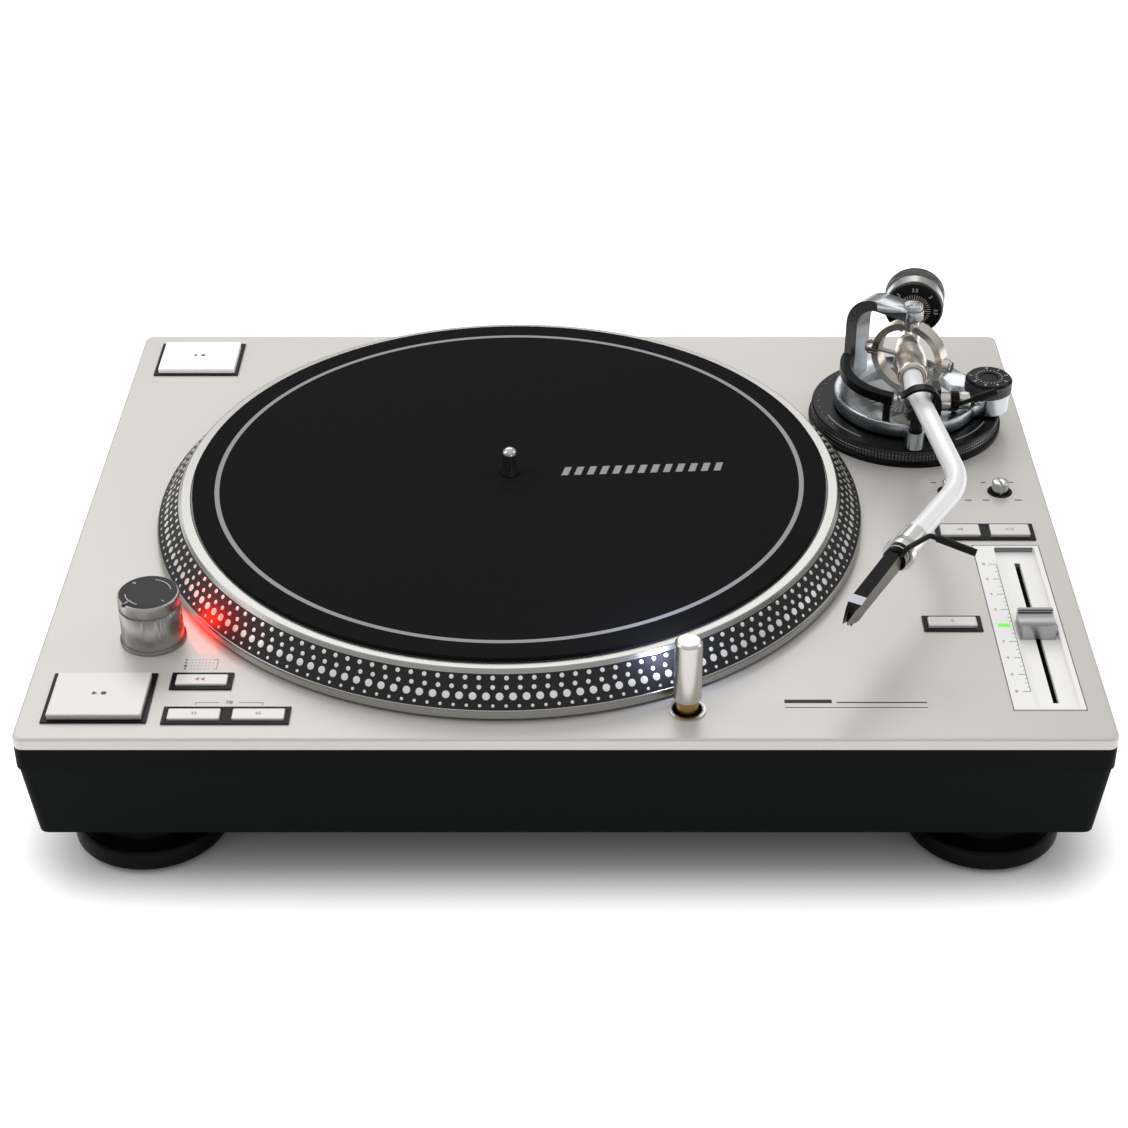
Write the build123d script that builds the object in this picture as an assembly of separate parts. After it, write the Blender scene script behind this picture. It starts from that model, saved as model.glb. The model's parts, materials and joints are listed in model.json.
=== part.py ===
"""A direct-drive turntable record player.

Millimetres, +Z up, +X to the right, +Y to the back.  The origin is the centre of the footprint on the
floor that the feet stand on.  Each function makes one separate piece and returns its solid or solids.
Heights are measured from the floor; `TOP` is the upper face of the top plate.
"""
from build123d import *
import math
import os

# ---------------------------------------------------------------- driving dimensions: the case
WIDTH = 458.0                # left to right
DEPTH = 354.0                # front to back
FOOT_HEIGHT = 27.0           # floor to the underside of the tub
TUB_HEIGHT = 36.8            # lower, tapering black tub
BAND_HEIGHT = 10.9           # straight black band between tub and top plate
PLATE_THICK = 5.3            # silver top plate
CORNER_R = 4.5               # vertical corners of plate, band and tub
TUB_TAPER = 3.5              # how far each tub side draws in towards the floor
WALL = 5.0                   # case wall
FLOOR_THICK = 4.0            # bottom cover

# ---------------------------------------------------------------- platter and motor
PLATTER_LEFT = 201.5         # platter axis from the left edge
PLATTER_BACK = 176.0         # platter axis from the back edge
PLATTER_R = 166.0            # outer radius at the lower lip
PLATTER_GAP = 1.0            # air under the rim
BAND_TOP_R = 155.0           # radius at the top of the dotted cone
BAND_LOW_H = 5.0             # top of the lower lip above the plate
BAND_TOP_H = 17.0            # top of the dotted cone above the plate
RIM_H = 18.5                 # bright top ring above the plate
MAT_R = 148.5
MAT_THICK = 2.2
MAT_H = 20.3                 # top of the slipmat above the plate
SPINDLE_R = 3.55             # takes a record's 7.24 mm centre hole
SPINDLE_H = 34.0             # spindle tip above the plate
SPINDLE_SEAT_R = SPINDLE_R + 1.0         # shoulder inside the mat, level with its top
SHAFT_R = 5.0                # shaft inside the bearing
SHAFT_DEPTH = 36.0           # shaft end below the plate's upper face
MOTOR_R = 62.0               # motor well in the plate
MAGNET_R = 54.0
MAGNET_WALL = 8.0

# ---------------------------------------------------------------- tonearm
PIVOT_DX = 197.0             # arm pivot right of the platter axis
PIVOT_DY = 86.2              # arm pivot behind the platter axis
ARM_H = 36.0                 # arm axis above the plate
TUBE_R = 4.75
TUBE_BEND_R = 42.0
STYLUS_REACH = 230.0         # pivot to stylus
DIAL_R = 47.0                # height dial
DIAL_FLANGE_R = 48.2
DIAL_H = 9.0                 # top of the height dial above the plate
ARM_BASE_R = 36.0
ARM_BASE_H = 17.0            # top of the arm base above the plate
COLUMN_R = 26.0              # column under the arm base
GIMBAL_R = 19.0
GIMBAL_WALL = 3.4
GIMBAL_WIDE = 7.0
SCREW_H = 65.0               # top of the vertical pivot screw above the plate
WEIGHT_R = 15.5
WEIGHT_AT = 50.5             # front of the counterweight from the pivot
REAR_YAW = 9.2               # rear shaft's angle from the front-to-back direction
REAR_R = 4.5

# ---------------------------------------------------------------- controls
KEY_TRAVEL = 1.0             # travel of a push button
KEY_GAP = 0.35               # air round a push button
FADER_TRAVEL = 50.0          # each way
LIGHT_TRAVEL = 33.0          # target light, up to down
LIGHT_R = 5.85
LIGHT_H = 36.0

# ---------------------------------------------------------------- fits
RUN = 0.05                   # radial clearance of a running fit
SLIDE = 0.35                 # clearance between pieces that only pass each other
LIFTER_GAP = 0.45            # air under the arm tube

# ---------------------------------------------------------------- places that follow from these
TUB_BOTTOM = FOOT_HEIGHT
BAND_BOTTOM = TUB_BOTTOM + TUB_HEIGHT
PLATE_BOTTOM = BAND_BOTTOM + BAND_HEIGHT
TOP = PLATE_BOTTOM + PLATE_THICK
LEFT, RIGHT = -WIDTH / 2, WIDTH / 2
FRONT, BACK = -DEPTH / 2, DEPTH / 2
PX, PY = LEFT + PLATTER_LEFT, BACK - PLATTER_BACK
AX, AY = PX + PIVOT_DX, PY + PIVOT_DY
AZ = TOP + ARM_H
FLOOR_IN = TUB_BOTTOM + FLOOR_THICK      # upper face of the bottom cover

LOW = (Align.CENTER, Align.CENTER, Align.MIN)


# ================================================================ helpers
def disc(r, z0, z1, x=0.0, y=0.0):
    """Upright round bar from z0 to z1."""
    return Pos(x, y, z0) * Cylinder(r, z1 - z0, align=LOW)


def ring(outer, inner, z0, z1, x=0.0, y=0.0):
    """Upright tube from z0 to z1."""
    return disc(outer, z0, z1, x, y) - disc(inner, z0 - 1, z1 + 1, x, y)


def block(x0, x1, y0, y1, z0, z1):
    """Box between two corners."""
    return Pos(x0, y0, z0) * Box(x1 - x0, y1 - y0, z1 - z0, align=(Align.MIN, Align.MIN, Align.MIN))


def turned(points, x=0.0, y=0.0, z=0.0):
    """Solid of revolution about an upright axis from an (r, z) outline."""
    face = make_face(Plane.XZ * Polyline(*points, close=True))
    return Pos(x, y, z) * revolve(face, Axis.Z)


def along(shape, origin, direction):
    """Turn a piece built about +Z so that its axis runs along a direction from an origin."""
    return Plane(origin=origin, z_dir=direction).location * shape


def slab(width, depth, radius, z0, z1, x=0.0, y=0.0):
    """Upright rounded rectangle from z0 to z1."""
    return Pos(x, y, z0) * extrude(RectangleRounded(width, depth, radius), z1 - z0)


def fused(solids):
    """One solid out of pieces that overlap."""
    body = solids[0]
    for solid in solids[1:]:
        body = body + solid
    return body


def bent_rod(points, radius, bend):
    """Round rod along straight runs joined by arcs of one bend radius."""
    route = FilletPolyline(*points, radius=bend)
    return sweep(Plane(origin=route @ 0, z_dir=route % 0) * Circle(radius), path=route)


def heading(yaw):
    """Unit vector of a direction that leans by yaw degrees from +Y towards +X."""
    a = math.radians(yaw)
    return Vector(math.sin(a), math.cos(a), 0)


def on_arm(distance, yaw, height=0.0):
    """Point on the arm's rear line, a distance behind the pivot."""
    return Vector(AX, AY, AZ + height) + heading(yaw) * distance


# ================================================================ push buttons
# name, centre x, centre y, cap width, cap depth, cap top above the plate
START_W, START_D = 39.7, 30.0
KEY33_W, KEY_D = 22.0, 7.2
RANGE_W, RANGE_D = 18.5, 9.2
KEYS = {
    "start_stop_front": (LEFT + 32.3, FRONT + 28.1, START_W, START_D, 3.0),
    "start_stop_rear": (LEFT + 32.7, BACK - 27.4, START_W, START_D, 3.0),
    "reverse": (LEFT + 73.7, FRONT + 40.0, KEY33_W, 7.2, 1.6),
    "speed_33": (LEFT + 73.7, FRONT + 15.9, KEY33_W, KEY_D, 1.6),
    "speed_45": (LEFT + 100.7, FRONT + 15.9, KEY33_W, KEY_D, 1.6),
    "range_narrow": (RIGHT - 45.4, FRONT + 157.6, RANGE_W, RANGE_D, 2.0),
    "range_wide": (RIGHT - 22.1, FRONT + 157.6, RANGE_W, RANGE_D, 2.0),
    "reset": (RIGHT - 58.8, FRONT + 82.7, 21.5, 7.0, 2.0),
}
KEY_GROUPS = [["start_stop_front"], ["start_stop_rear"], ["reverse"], ["speed_33", "speed_45"],
              ["range_narrow", "range_wide"], ["reset"]]
BEZEL = 1.9                  # black frame outside the button's air gap
BEZEL_H = 0.7                # frame's top above the plate
HOUSING_DEPTH = 12.0         # housing below the plate's upper face
BOARD_THICK = 1.6
SWITCH_H = 4.0


def key_box(names):
    """Outer rectangle (x0, x1, y0, y1) of a button group's housing."""
    edge = KEY_GAP + BEZEL
    xs = [KEYS[n][0] + s * (KEYS[n][2] / 2 + edge) for n in names for s in (-1, 1)]
    ys = [KEYS[n][1] + s * (KEYS[n][3] / 2 + edge) for n in names for s in (-1, 1)]
    return min(xs), max(xs), min(ys), max(ys)


def button_cap(name):
    """Moulded cap with a stem that stops just above its switch."""
    x, y, w, d, h = KEYS[name]
    cap = slab(w, d, 0.8, TOP - 5.0, TOP + h, x, y)
    cap = fillet(cap.faces().sort_by(Axis.Z)[-1].edges(), 0.5)
    stem_end = TOP - HOUSING_DEPTH + SWITCH_H + KEY_TRAVEL + 0.1
    return cap + disc(1.6, stem_end, TOP - 4.5, x, y)


def button_housings():
    """Black frames, one round each button or pair, open below where the boards close them."""
    frames = []
    for names in KEY_GROUPS:
        x0, x1, y0, y1 = key_box(names)
        frame = block(x0, x1, y0, y1, TOP - HOUSING_DEPTH, TOP + BEZEL_H)
        for name in names:
            x, y, w, d, h = KEYS[name]
            frame -= slab(w + 2 * KEY_GAP, d + 2 * KEY_GAP, 1.0, TOP - HOUSING_DEPTH - 1, TOP + 2, x, y)
        frames.append(frame)
    return frames


def button_switches():
    """A small board under each housing with one tact switch under each cap."""
    pieces = []
    for names in KEY_GROUPS:
        x0, x1, y0, y1 = key_box(names)
        base = TOP - HOUSING_DEPTH
        board = block(x0, x1, y0, y1, base - BOARD_THICK, base)
        for name in names:
            x, y = KEYS[name][:2]
            board += block(x - 3, x + 3, y - 2.6, y + 2.6, base - 0.2, base + SWITCH_H - 1)
            board += disc(1.7, base, base + SWITCH_H, x, y)
        pieces.append(board)
    return pieces


# ================================================================ pitch fader
PANEL_W, PANEL_D, PANEL_THICK = 31.1, 126.6, 4.6
PANEL_X, PANEL_Y = RIGHT - 25.85, FRONT + 83.1
RECESS_W, RECESS_D, RECESS_DEEP = 18.7, 123.0, 2.5
RECESS_X = PANEL_X + 3.7
SLOT_W = 2.6
FADER_X, FADER_Y = RECESS_X + 0.4, PANEL_Y - 1.4
FADER_W, FADER_D, FADER_H = 16.0, 14.5, 5.0
FADER_UNIT_W, FADER_UNIT_H = 12.0, 9.0
STEM_W, STEM_D = 1.4, 5.0


def slot_half():
    """Half the slot's length: travel, half the stem and a little air."""
    return FADER_TRAVEL + STEM_D / 2 + 1.0


def pitch_panel():
    """Pale inset panel with a sunk track and the slot that the fader runs in."""
    z1 = TOP + 0.2
    panel = slab(PANEL_W, PANEL_D, 1.0, TOP - PANEL_THICK, z1, PANEL_X, PANEL_Y)
    panel -= slab(RECESS_W, RECESS_D, 0.8, TOP - RECESS_DEEP, z1 + 1, RECESS_X, PANEL_Y)
    half = slot_half()
    return panel - block(FADER_X - SLOT_W / 2, FADER_X + SLOT_W / 2, FADER_Y - half, FADER_Y + half,
                         TOP - PANEL_THICK - 1, TOP)


def fader_unit():
    """Long sliding resistor under the panel, with the groove for the fader's stem."""
    z1 = TOP - PANEL_THICK
    half = slot_half()
    body = block(FADER_X - FADER_UNIT_W / 2, FADER_X + FADER_UNIT_W / 2, FADER_Y - half - 6,
                 FADER_Y + half + 6, z1 - FADER_UNIT_H, z1)
    return body - block(FADER_X - SLOT_W / 2, FADER_X + SLOT_W / 2, FADER_Y - half, FADER_Y + half,
                        z1 - FADER_UNIT_H + 2, z1 + 1)


def pitch_fader():
    """Grip with a hollowed top on a thin stem that runs in the slot."""
    z0 = TOP - RECESS_DEEP + SLIDE
    grip = slab(FADER_W, FADER_D, 0.8, z0, TOP + FADER_H, FADER_X, FADER_Y)
    hollow_r = 14.0
    hollow = Pos(FADER_X, FADER_Y, TOP + FADER_H + hollow_r - 2.2) * Rot(0, 90, 0) * Cylinder(
        hollow_r, FADER_W + 4)
    stem_end = TOP - PANEL_THICK - FADER_UNIT_H + 2.6
    return grip - hollow + block(FADER_X - STEM_W / 2, FADER_X + STEM_W / 2, FADER_Y - STEM_D / 2,
                                 FADER_Y + STEM_D / 2, stem_end, z0 + 1)


# ================================================================ two small knobs
KNOB_R, KNOB_HOLE_R, KNOB_H = 4.0, 6.0, 6.0
KNOBS = {"level_knob_left": (RIGHT - 45.2, FRONT + 194.2), "level_knob_right": (RIGHT - 21.2, FRONT + 194.2)}
KNOB_DEEP = 4.0              # knob's foot below the plate's upper face
POT_TOP = 9.0                # potentiometer's top below the plate's upper face
POT_AXLE_R = 1.5


def small_knob(name):
    """Bright knob on its axle, standing in a black well."""
    x, y = KNOBS[name]
    knob = disc(KNOB_R, TOP - KNOB_DEEP, TOP + KNOB_H, x, y)
    knob = chamfer(knob.faces().sort_by(Axis.Z)[-1].edges(), 0.6)
    knob -= block(x - 0.4, x + 0.4, y - KNOB_R - 1, y, TOP + KNOB_H - 1.0, TOP + KNOB_H + 1)
    return knob + disc(POT_AXLE_R, TOP - POT_TOP - 4.0, TOP - KNOB_DEEP + 0.5, x, y)


def knob_pots():
    """Black wells and the rotary potentiometers under them."""
    pieces = []
    for x, y in KNOBS.values():
        well = ring(KNOB_HOLE_R, KNOB_R + SLIDE, TOP - POT_TOP, TOP + 0.1, x, y)
        pot = block(x - 6.5, x + 6.5, y - 6.5, y + 6.5, TOP - POT_TOP - 6, TOP - POT_TOP)
        bore = disc(POT_AXLE_R + RUN, TOP - POT_TOP - 5, TOP + 1, x, y)
        pieces.append(well + (pot - bore))
    return pieces


# ================================================================ power switch with the strobe light
TOWER_X, TOWER_Y = LEFT + 48.0, FRONT + 72.7
TOWER_R, TOWER_FOOT_R, TOWER_H = 13.5, 14.4, 24.0
POWER_SPLIT = 17.6           # height above the plate where the turning top starts
POWER_AXLE_R = 4.0
TOWER_SPIGOT_R = 12.0
STROBE_HALF = 20.0           # half the angle that the strobe window covers
STROBE_YAW = math.degrees(math.atan2(PY - TOWER_Y, PX - TOWER_X))


def strobe_sector(grow, z0, z1):
    """Wedge-shaped space of the strobe window, pointing at the platter."""
    half = STROBE_HALF + grow
    reach = TOWER_R + 5
    edge = [(0, 0)] + [(reach * math.cos(math.radians(a)), reach * math.sin(math.radians(a)))
                       for a in (-half, 0, half)]
    wedge = extrude(make_face(Polyline(*edge, close=True)), z1 - z0)
    return Pos(TOWER_X, TOWER_Y, z0) * Rot(0, 0, STROBE_YAW) * wedge


def strobe_housing():
    """Round tower on the plate with a window towards the platter's dots."""
    outline = [(0, -PLATE_THICK), (TOWER_SPIGOT_R, -PLATE_THICK), (TOWER_SPIGOT_R, 0), (TOWER_FOOT_R, 0),
               (TOWER_FOOT_R, 1.4), (TOWER_R, 1.8), (TOWER_R, POWER_SPLIT), (0, POWER_SPLIT)]
    body = turned(outline, TOWER_X, TOWER_Y, TOP)
    body -= disc(POWER_AXLE_R + RUN, TOP, TOP + TOWER_H, TOWER_X, TOWER_Y)
    window = strobe_sector(0, TOP + 4, TOP + 14.5) & ring(TOWER_R + 4, TOWER_R - 4, TOP, TOP + TOWER_H,
                                                          TOWER_X, TOWER_Y)
    return body - window


def strobe_lens():
    """Clear red window of the strobe."""
    wall = ring(TOWER_R - 0.4, TOWER_R - 4, TOP, TOP + TOWER_H, TOWER_X, TOWER_Y)
    return strobe_sector(0, TOP + 4, TOP + 14.5) & wall


def power_dial():
    """Turning top of the tower, with its axle and pointer notch."""
    outline = [(0, POWER_SPLIT + SLIDE), (TOWER_R - 0.6, POWER_SPLIT + SLIDE), (TOWER_R, POWER_SPLIT + 1.2),
               (TOWER_R, TOWER_H - 0.8), (TOWER_R - 0.8, TOWER_H), (0, TOWER_H)]
    dial = turned(outline, TOWER_X, TOWER_Y, TOP)
    dial += disc(POWER_AXLE_R, TOP + 1.0, TOP + POWER_SPLIT + 1, TOWER_X, TOWER_Y)
    notch = Pos(TOWER_X, TOWER_Y, TOP + TOWER_H - 1.2) * Rot(0, 0, 225) * Box(
        6, 2.2, 3, align=(Align.MIN, Align.CENTER, Align.MIN))
    return dial - Pos(9 * math.cos(math.radians(225)), 9 * math.sin(math.radians(225)), 0) * notch


# ================================================================ pop-up target light
LIGHT_X, LIGHT_Y = WIDTH / 2 - 178.2, FRONT + 20.1
LIGHT_NECK_R, LIGHT_NECK_H = 4.9, 7.0
LIGHT_HOLE_R = LIGHT_R + SLIDE
LIGHT_TUBE_R = LIGHT_HOLE_R + 1.6
PISTON_H = 4.0
PISTON_TOP = -9.0            # top of the piston against the plate's upper face


def target_light():
    """Bright lamp post on a brass neck, with a piston that guides it in its sleeve."""
    outline = [(0, PISTON_TOP - PISTON_H), (LIGHT_R, PISTON_TOP - PISTON_H), (LIGHT_R, PISTON_TOP),
               (LIGHT_NECK_R, PISTON_TOP), (LIGHT_NECK_R, LIGHT_NECK_H), (LIGHT_R, LIGHT_NECK_H),
               (LIGHT_R, LIGHT_H - 1.2), (LIGHT_R - 1.2, LIGHT_H), (0, LIGHT_H)]
    post = turned(outline, LIGHT_X, LIGHT_Y, TOP)
    return post - block(LIGHT_X - 2.2, LIGHT_X + 2.2, LIGHT_Y + LIGHT_R - 1.6, LIGHT_Y + LIGHT_R + 1,
                        TOP + LIGHT_H - 8, TOP + LIGHT_H - 3.5)


def target_light_sleeve():
    """Sleeve that the lamp post drops into, closed below."""
    end = PISTON_TOP - PISTON_H - LIGHT_TRAVEL - 0.5
    sleeve = ring(LIGHT_TUBE_R, LIGHT_HOLE_R, TOP + end, TOP + 0.8, LIGHT_X, LIGHT_Y)
    return sleeve + disc(LIGHT_TUBE_R, TOP + end - 1.2, TOP + end + 0.01, LIGHT_X, LIGHT_Y)


# ================================================================ case
FOOT_R, FOOT_NECK_R, FOOT_PAD_R = 34.0, 25.0, 30.0
FOOT_INSET_X, FOOT_INSET_Y = 45.0, 41.0
FOOT_PAD_H = 2.5
FEET = [(sx * (WIDTH / 2 - FOOT_INSET_X), sy * (DEPTH / 2 - FOOT_INSET_Y))
        for sx in (-1, 1) for sy in (-1, 1)]
PILLAR_R = 6.0               # screw pillars inside the tub
SCREW_R = 2.0


def top_plate():
    """Silver top plate with its openings and the boss that guides the arm's column."""
    plate = slab(WIDTH, DEPTH, CORNER_R, PLATE_BOTTOM, TOP)
    plate = fillet(plate.faces().sort_by(Axis.Z)[-1].edges(), 1.2)
    plate -= disc(MOTOR_R, PLATE_BOTTOM - 1, TOP + 1, PX, PY)
    for names in KEY_GROUPS:
        x0, x1, y0, y1 = key_box(names)
        plate -= block(x0, x1, y0, y1, PLATE_BOTTOM - 1, TOP + 1)
    plate -= slab(PANEL_W, PANEL_D, 1.0, TOP - PANEL_THICK, TOP + 1, PANEL_X, PANEL_Y)
    half = slot_half() + 6
    plate -= block(FADER_X - FADER_UNIT_W / 2, FADER_X + FADER_UNIT_W / 2, FADER_Y - half,
                   FADER_Y + half, PLATE_BOTTOM - 1, TOP)
    for x, y in KNOBS.values():
        plate -= disc(KNOB_HOLE_R, PLATE_BOTTOM - 1, TOP + 1, x, y)
    plate -= disc(TOWER_SPIGOT_R, PLATE_BOTTOM - 1, TOP + 1, TOWER_X, TOWER_Y)
    plate -= disc(LIGHT_TUBE_R, PLATE_BOTTOM - 1, TOP + 1, LIGHT_X, LIGHT_Y)
    boss = disc(COLUMN_R + SLIDE + 4, PLATE_BOTTOM - 10, PLATE_BOTTOM + 1, AX, AY)
    return plate + boss - disc(COLUMN_R + SLIDE, PLATE_BOTTOM - 11, TOP + 1, AX, AY)


def upper_band():
    """Straight black band under the plate, an open frame."""
    outer = slab(WIDTH, DEPTH, CORNER_R, BAND_BOTTOM, PLATE_BOTTOM)
    inner = slab(WIDTH - 2 * WALL, DEPTH - 2 * WALL, CORNER_R, BAND_BOTTOM - 1, PLATE_BOTTOM + 1)
    return outer - inner


JACK_R = 4.15
JACK_LONG = 9.0
REAR_PANEL_X, REAR_PANEL_W = LEFT + 95.0, 116.0
REAR_PANEL_Z0, REAR_PANEL_Z1 = TUB_BOTTOM + 7.0, TUB_BOTTOM + 33.0
REAR_PANEL_Y = BACK - 12.0   # outer face of the recessed connector panel
REAR_PANEL_THICK = 2.5


def tapered(width, depth, draw, z0, z1):
    """Rounded rectangle that grows from z0 to z1 by draw on each side."""
    low = Pos(0, 0, z0) * RectangleRounded(width - 2 * draw, depth - 2 * draw, CORNER_R)
    high = Pos(0, 0, z1) * RectangleRounded(width, depth, CORNER_R)
    return loft([low, high])


def pillar_places():
    """Places of the four screw pillars in the tub's corners."""
    inset = TUB_TAPER + WALL + PILLAR_R - 1.0
    x, y = WIDTH / 2 - inset, DEPTH / 2 - inset
    return [(-x, -y), (x, -y), (-x, y), (x, y)]


def base_tub():
    """Tapering black tub, open above and below, with screw pillars and the connector window."""
    lip = 0.6                # shadow line under the band
    outer = tapered(WIDTH - 2 * lip, DEPTH - 2 * lip, TUB_TAPER, TUB_BOTTOM, BAND_BOTTOM)
    cavity = tapered(WIDTH - 2 * lip - 2 * WALL, DEPTH - 2 * lip - 2 * WALL, TUB_TAPER,
                     TUB_BOTTOM, BAND_BOTTOM)
    tub = outer - cavity
    x0, x1 = REAR_PANEL_X - REAR_PANEL_W / 2, REAR_PANEL_X + REAR_PANEL_W / 2
    frame = block(x0 - 3, x1 + 3, REAR_PANEL_Y - REAR_PANEL_THICK, BACK - TUB_TAPER - WALL + 0.5,
                  TUB_BOTTOM + FLOOR_THICK, REAR_PANEL_Z1 + 3)
    tub += frame
    tub -= block(x0, x1, REAR_PANEL_Y - REAR_PANEL_THICK - 1, BACK + 1, REAR_PANEL_Z0, REAR_PANEL_Z1)
    for x, y in pillar_places():
        tub += disc(PILLAR_R, FLOOR_IN, BAND_BOTTOM, x, y)
        tub -= disc(SCREW_R, FLOOR_IN - 1, BAND_BOTTOM - 8, x, y)
    return tub


def bottom_cover():
    """Flat bottom plate, set inside the tub's lower edge, with posts for the boards."""
    w = WIDTH - 1.2 - 2 * WALL - 2 * TUB_TAPER - 0.2
    d = DEPTH - 1.2 - 2 * WALL - 2 * TUB_TAPER - 0.2
    cover = slab(w, d, CORNER_R, TUB_BOTTOM, FLOOR_IN)
    for x, y in pillar_places():
        cover -= disc(SCREW_R, TUB_BOTTOM - 1, FLOOR_IN + 1, x, y)
        cover -= disc(SCREW_HEAD_R, TUB_BOTTOM - 1, TUB_BOTTOM + SCREW_HEAD_H, x, y)
    for x, y in board_posts():
        cover += disc(3.0, FLOOR_IN - 0.5, FLOOR_IN + BOARD_POST_H, x, y)
    return cover


SCREW_HEAD_R, SCREW_HEAD_H = 3.8, 2.2


def case_screws():
    """Four screws from below through the bottom cover into the tub's pillars."""
    screws = []
    for x, y in pillar_places():
        shank = disc(SCREW_R, TUB_BOTTOM + 1, FLOOR_IN + 14, x, y)
        head = disc(SCREW_HEAD_R, TUB_BOTTOM + 0.2, TUB_BOTTOM + SCREW_HEAD_H, x, y)
        head -= Pos(x, y, TUB_BOTTOM) * Box(5, 0.8, 1.6)
        head -= Pos(x, y, TUB_BOTTOM) * Box(0.8, 5, 1.6)
        screws.append(shank + head)
    return screws


def foot_cups():
    """Four round feet: a broad disc below and a narrower dome up to the tub."""
    outline = [(0, FOOT_PAD_H), (FOOT_R - 1, FOOT_PAD_H), (FOOT_R, FOOT_PAD_H + 1), (FOOT_R, 10.6),
               (FOOT_R - 1.6, 12.2), (FOOT_NECK_R + 2.5, 13.0), (FOOT_NECK_R, 15.5),
               (FOOT_NECK_R - 1.0, FOOT_HEIGHT - 4), (FOOT_NECK_R - 2.5, FOOT_HEIGHT), (0, FOOT_HEIGHT)]
    return [turned(outline, x, y) for x, y in FEET]


def foot_pads():
    """Rubber discs that the feet stand on."""
    pads = []
    for x, y in FEET:
        pad = disc(FOOT_PAD_R, 0, FOOT_PAD_H, x, y)
        pads.append(chamfer(pad.faces().sort_by(Axis.Z)[0].edges(), 0.8))
    return pads


def rear_panel():
    """Connector panel in the tub's window."""
    x0, x1 = REAR_PANEL_X - REAR_PANEL_W / 2, REAR_PANEL_X + REAR_PANEL_W / 2
    panel = block(x0, x1, REAR_PANEL_Y - REAR_PANEL_THICK, REAR_PANEL_Y, REAR_PANEL_Z0, REAR_PANEL_Z1)
    panel -= block(INLET_X - INLET_W / 2, INLET_X + INLET_W / 2, REAR_PANEL_Y - 5, REAR_PANEL_Y + 1,
                   JACK_Z - INLET_H / 2, JACK_Z + INLET_H / 2)
    for x, r in jack_places():
        panel -= along(Cylinder(r, 20), (x, REAR_PANEL_Y, JACK_Z), (0, 1, 0))
    return panel


JACK_Z = (REAR_PANEL_Z0 + REAR_PANEL_Z1) / 2
INLET_X = REAR_PANEL_X + 32.0
INLET_W, INLET_H, INLET_DEEP = 30.0, 22.0, 20.0
INLET_MOUTH_W, INLET_MOUTH_H = 24.4, 16.8


def jack_places():
    """Centre x and radius of each round connector: two signal jacks and the earth post."""
    return [(REAR_PANEL_X - 42, JACK_R), (REAR_PANEL_X - 24, JACK_R), (REAR_PANEL_X - 6, 3.0)]


def signal_jacks():
    """Two tubular signal jacks with their centre holes, and the earth post with its knurled nut."""
    pieces = []
    for x, r in jack_places():
        z0 = REAR_PANEL_Y - REAR_PANEL_THICK - 6
        jack = along(Cylinder(r, 6 + REAR_PANEL_THICK + JACK_LONG, align=LOW), (x, z0, JACK_Z), (0, 1, 0))
        if r == JACK_R:
            jack -= along(Cylinder(1.7, JACK_LONG, align=LOW), (x, REAR_PANEL_Y + 1, JACK_Z), (0, 1, 0))
            jack += along(Cylinder(r + 2.2, 1.6, align=LOW), (x, REAR_PANEL_Y, JACK_Z), (0, 1, 0))
        else:
            jack += along(Cylinder(r + 1.8, 4.0, align=LOW), (x, REAR_PANEL_Y + 1.2, JACK_Z), (0, 1, 0))
        pieces.append(jack)
    return pieces


def power_inlet():
    """Appliance inlet: a cup with three flat pins inside."""
    y1 = REAR_PANEL_Y + 1.5
    y0 = REAR_PANEL_Y - INLET_DEEP
    cup = block(INLET_X - INLET_W / 2, INLET_X + INLET_W / 2, y0, y1,
                JACK_Z - INLET_H / 2, JACK_Z + INLET_H / 2)
    cup -= block(INLET_X - INLET_MOUTH_W / 2, INLET_X + INLET_MOUTH_W / 2, y0 + 3, y1 + 1,
                 JACK_Z - INLET_MOUTH_H / 2, JACK_Z + INLET_MOUTH_H / 2)
    for x, z in ((-7, -2), (0, 2), (7, -2)):
        cup += block(INLET_X + x - 1, INLET_X + x + 1, y0 + 2, y1 - 4, JACK_Z + z - 2, JACK_Z + z + 2)
    return cup


# ================================================================ boards inside
BOARD_POST_H = 6.0
MAIN_BOARD = (LEFT + 30, LEFT + 170, BACK - 145, BACK - 45)      # x0, x1, y0, y1


def board_posts():
    """Four posts under the main board's corners."""
    x0, x1, y0, y1 = MAIN_BOARD
    return [(x, y) for x in (x0 + 6, x1 - 6) for y in (y0 + 6, y1 - 6)]


def main_board():
    """Control board on its posts, with a heat sink and two capacitors."""
    x0, x1, y0, y1 = MAIN_BOARD
    z = FLOOR_IN + BOARD_POST_H
    board = block(x0, x1, y0, y1, z, z + BOARD_THICK)
    for fin in range(6):
        board += block(x0 + 20 + 5 * fin, x0 + 22 + 5 * fin, y0 + 20, y0 + 50, z + BOARD_THICK - 0.2, z + 16)
    board += block(x0 + 20, x0 + 47, y0 + 20, y0 + 50, z + BOARD_THICK - 0.2, z + 4)
    for step in (0, 16):
        board += disc(6.0, z + 1, z + 17, x0 + 80 + step, y0 + 40)
    return board


def transformer():
    """Mains transformer on the bottom cover."""
    x, y = PX + 95.0, BACK - 60.0
    core = block(x - 28, x + 28, y - 24, y + 24, FLOOR_IN, FLOOR_IN + 30)
    return core + block(x - 18, x + 18, y - 30, y + 30, FLOOR_IN + 3, FLOOR_IN + 27)


# ================================================================ bearing, motor, platter
BEARING_WALL = 4.5
BEARING_DEPTH = SHAFT_DEPTH + 2.5
TRAY_Z = 12.0                # top of the motor tray below the plate's upper face
TRAY_THICK = 2.5


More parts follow.
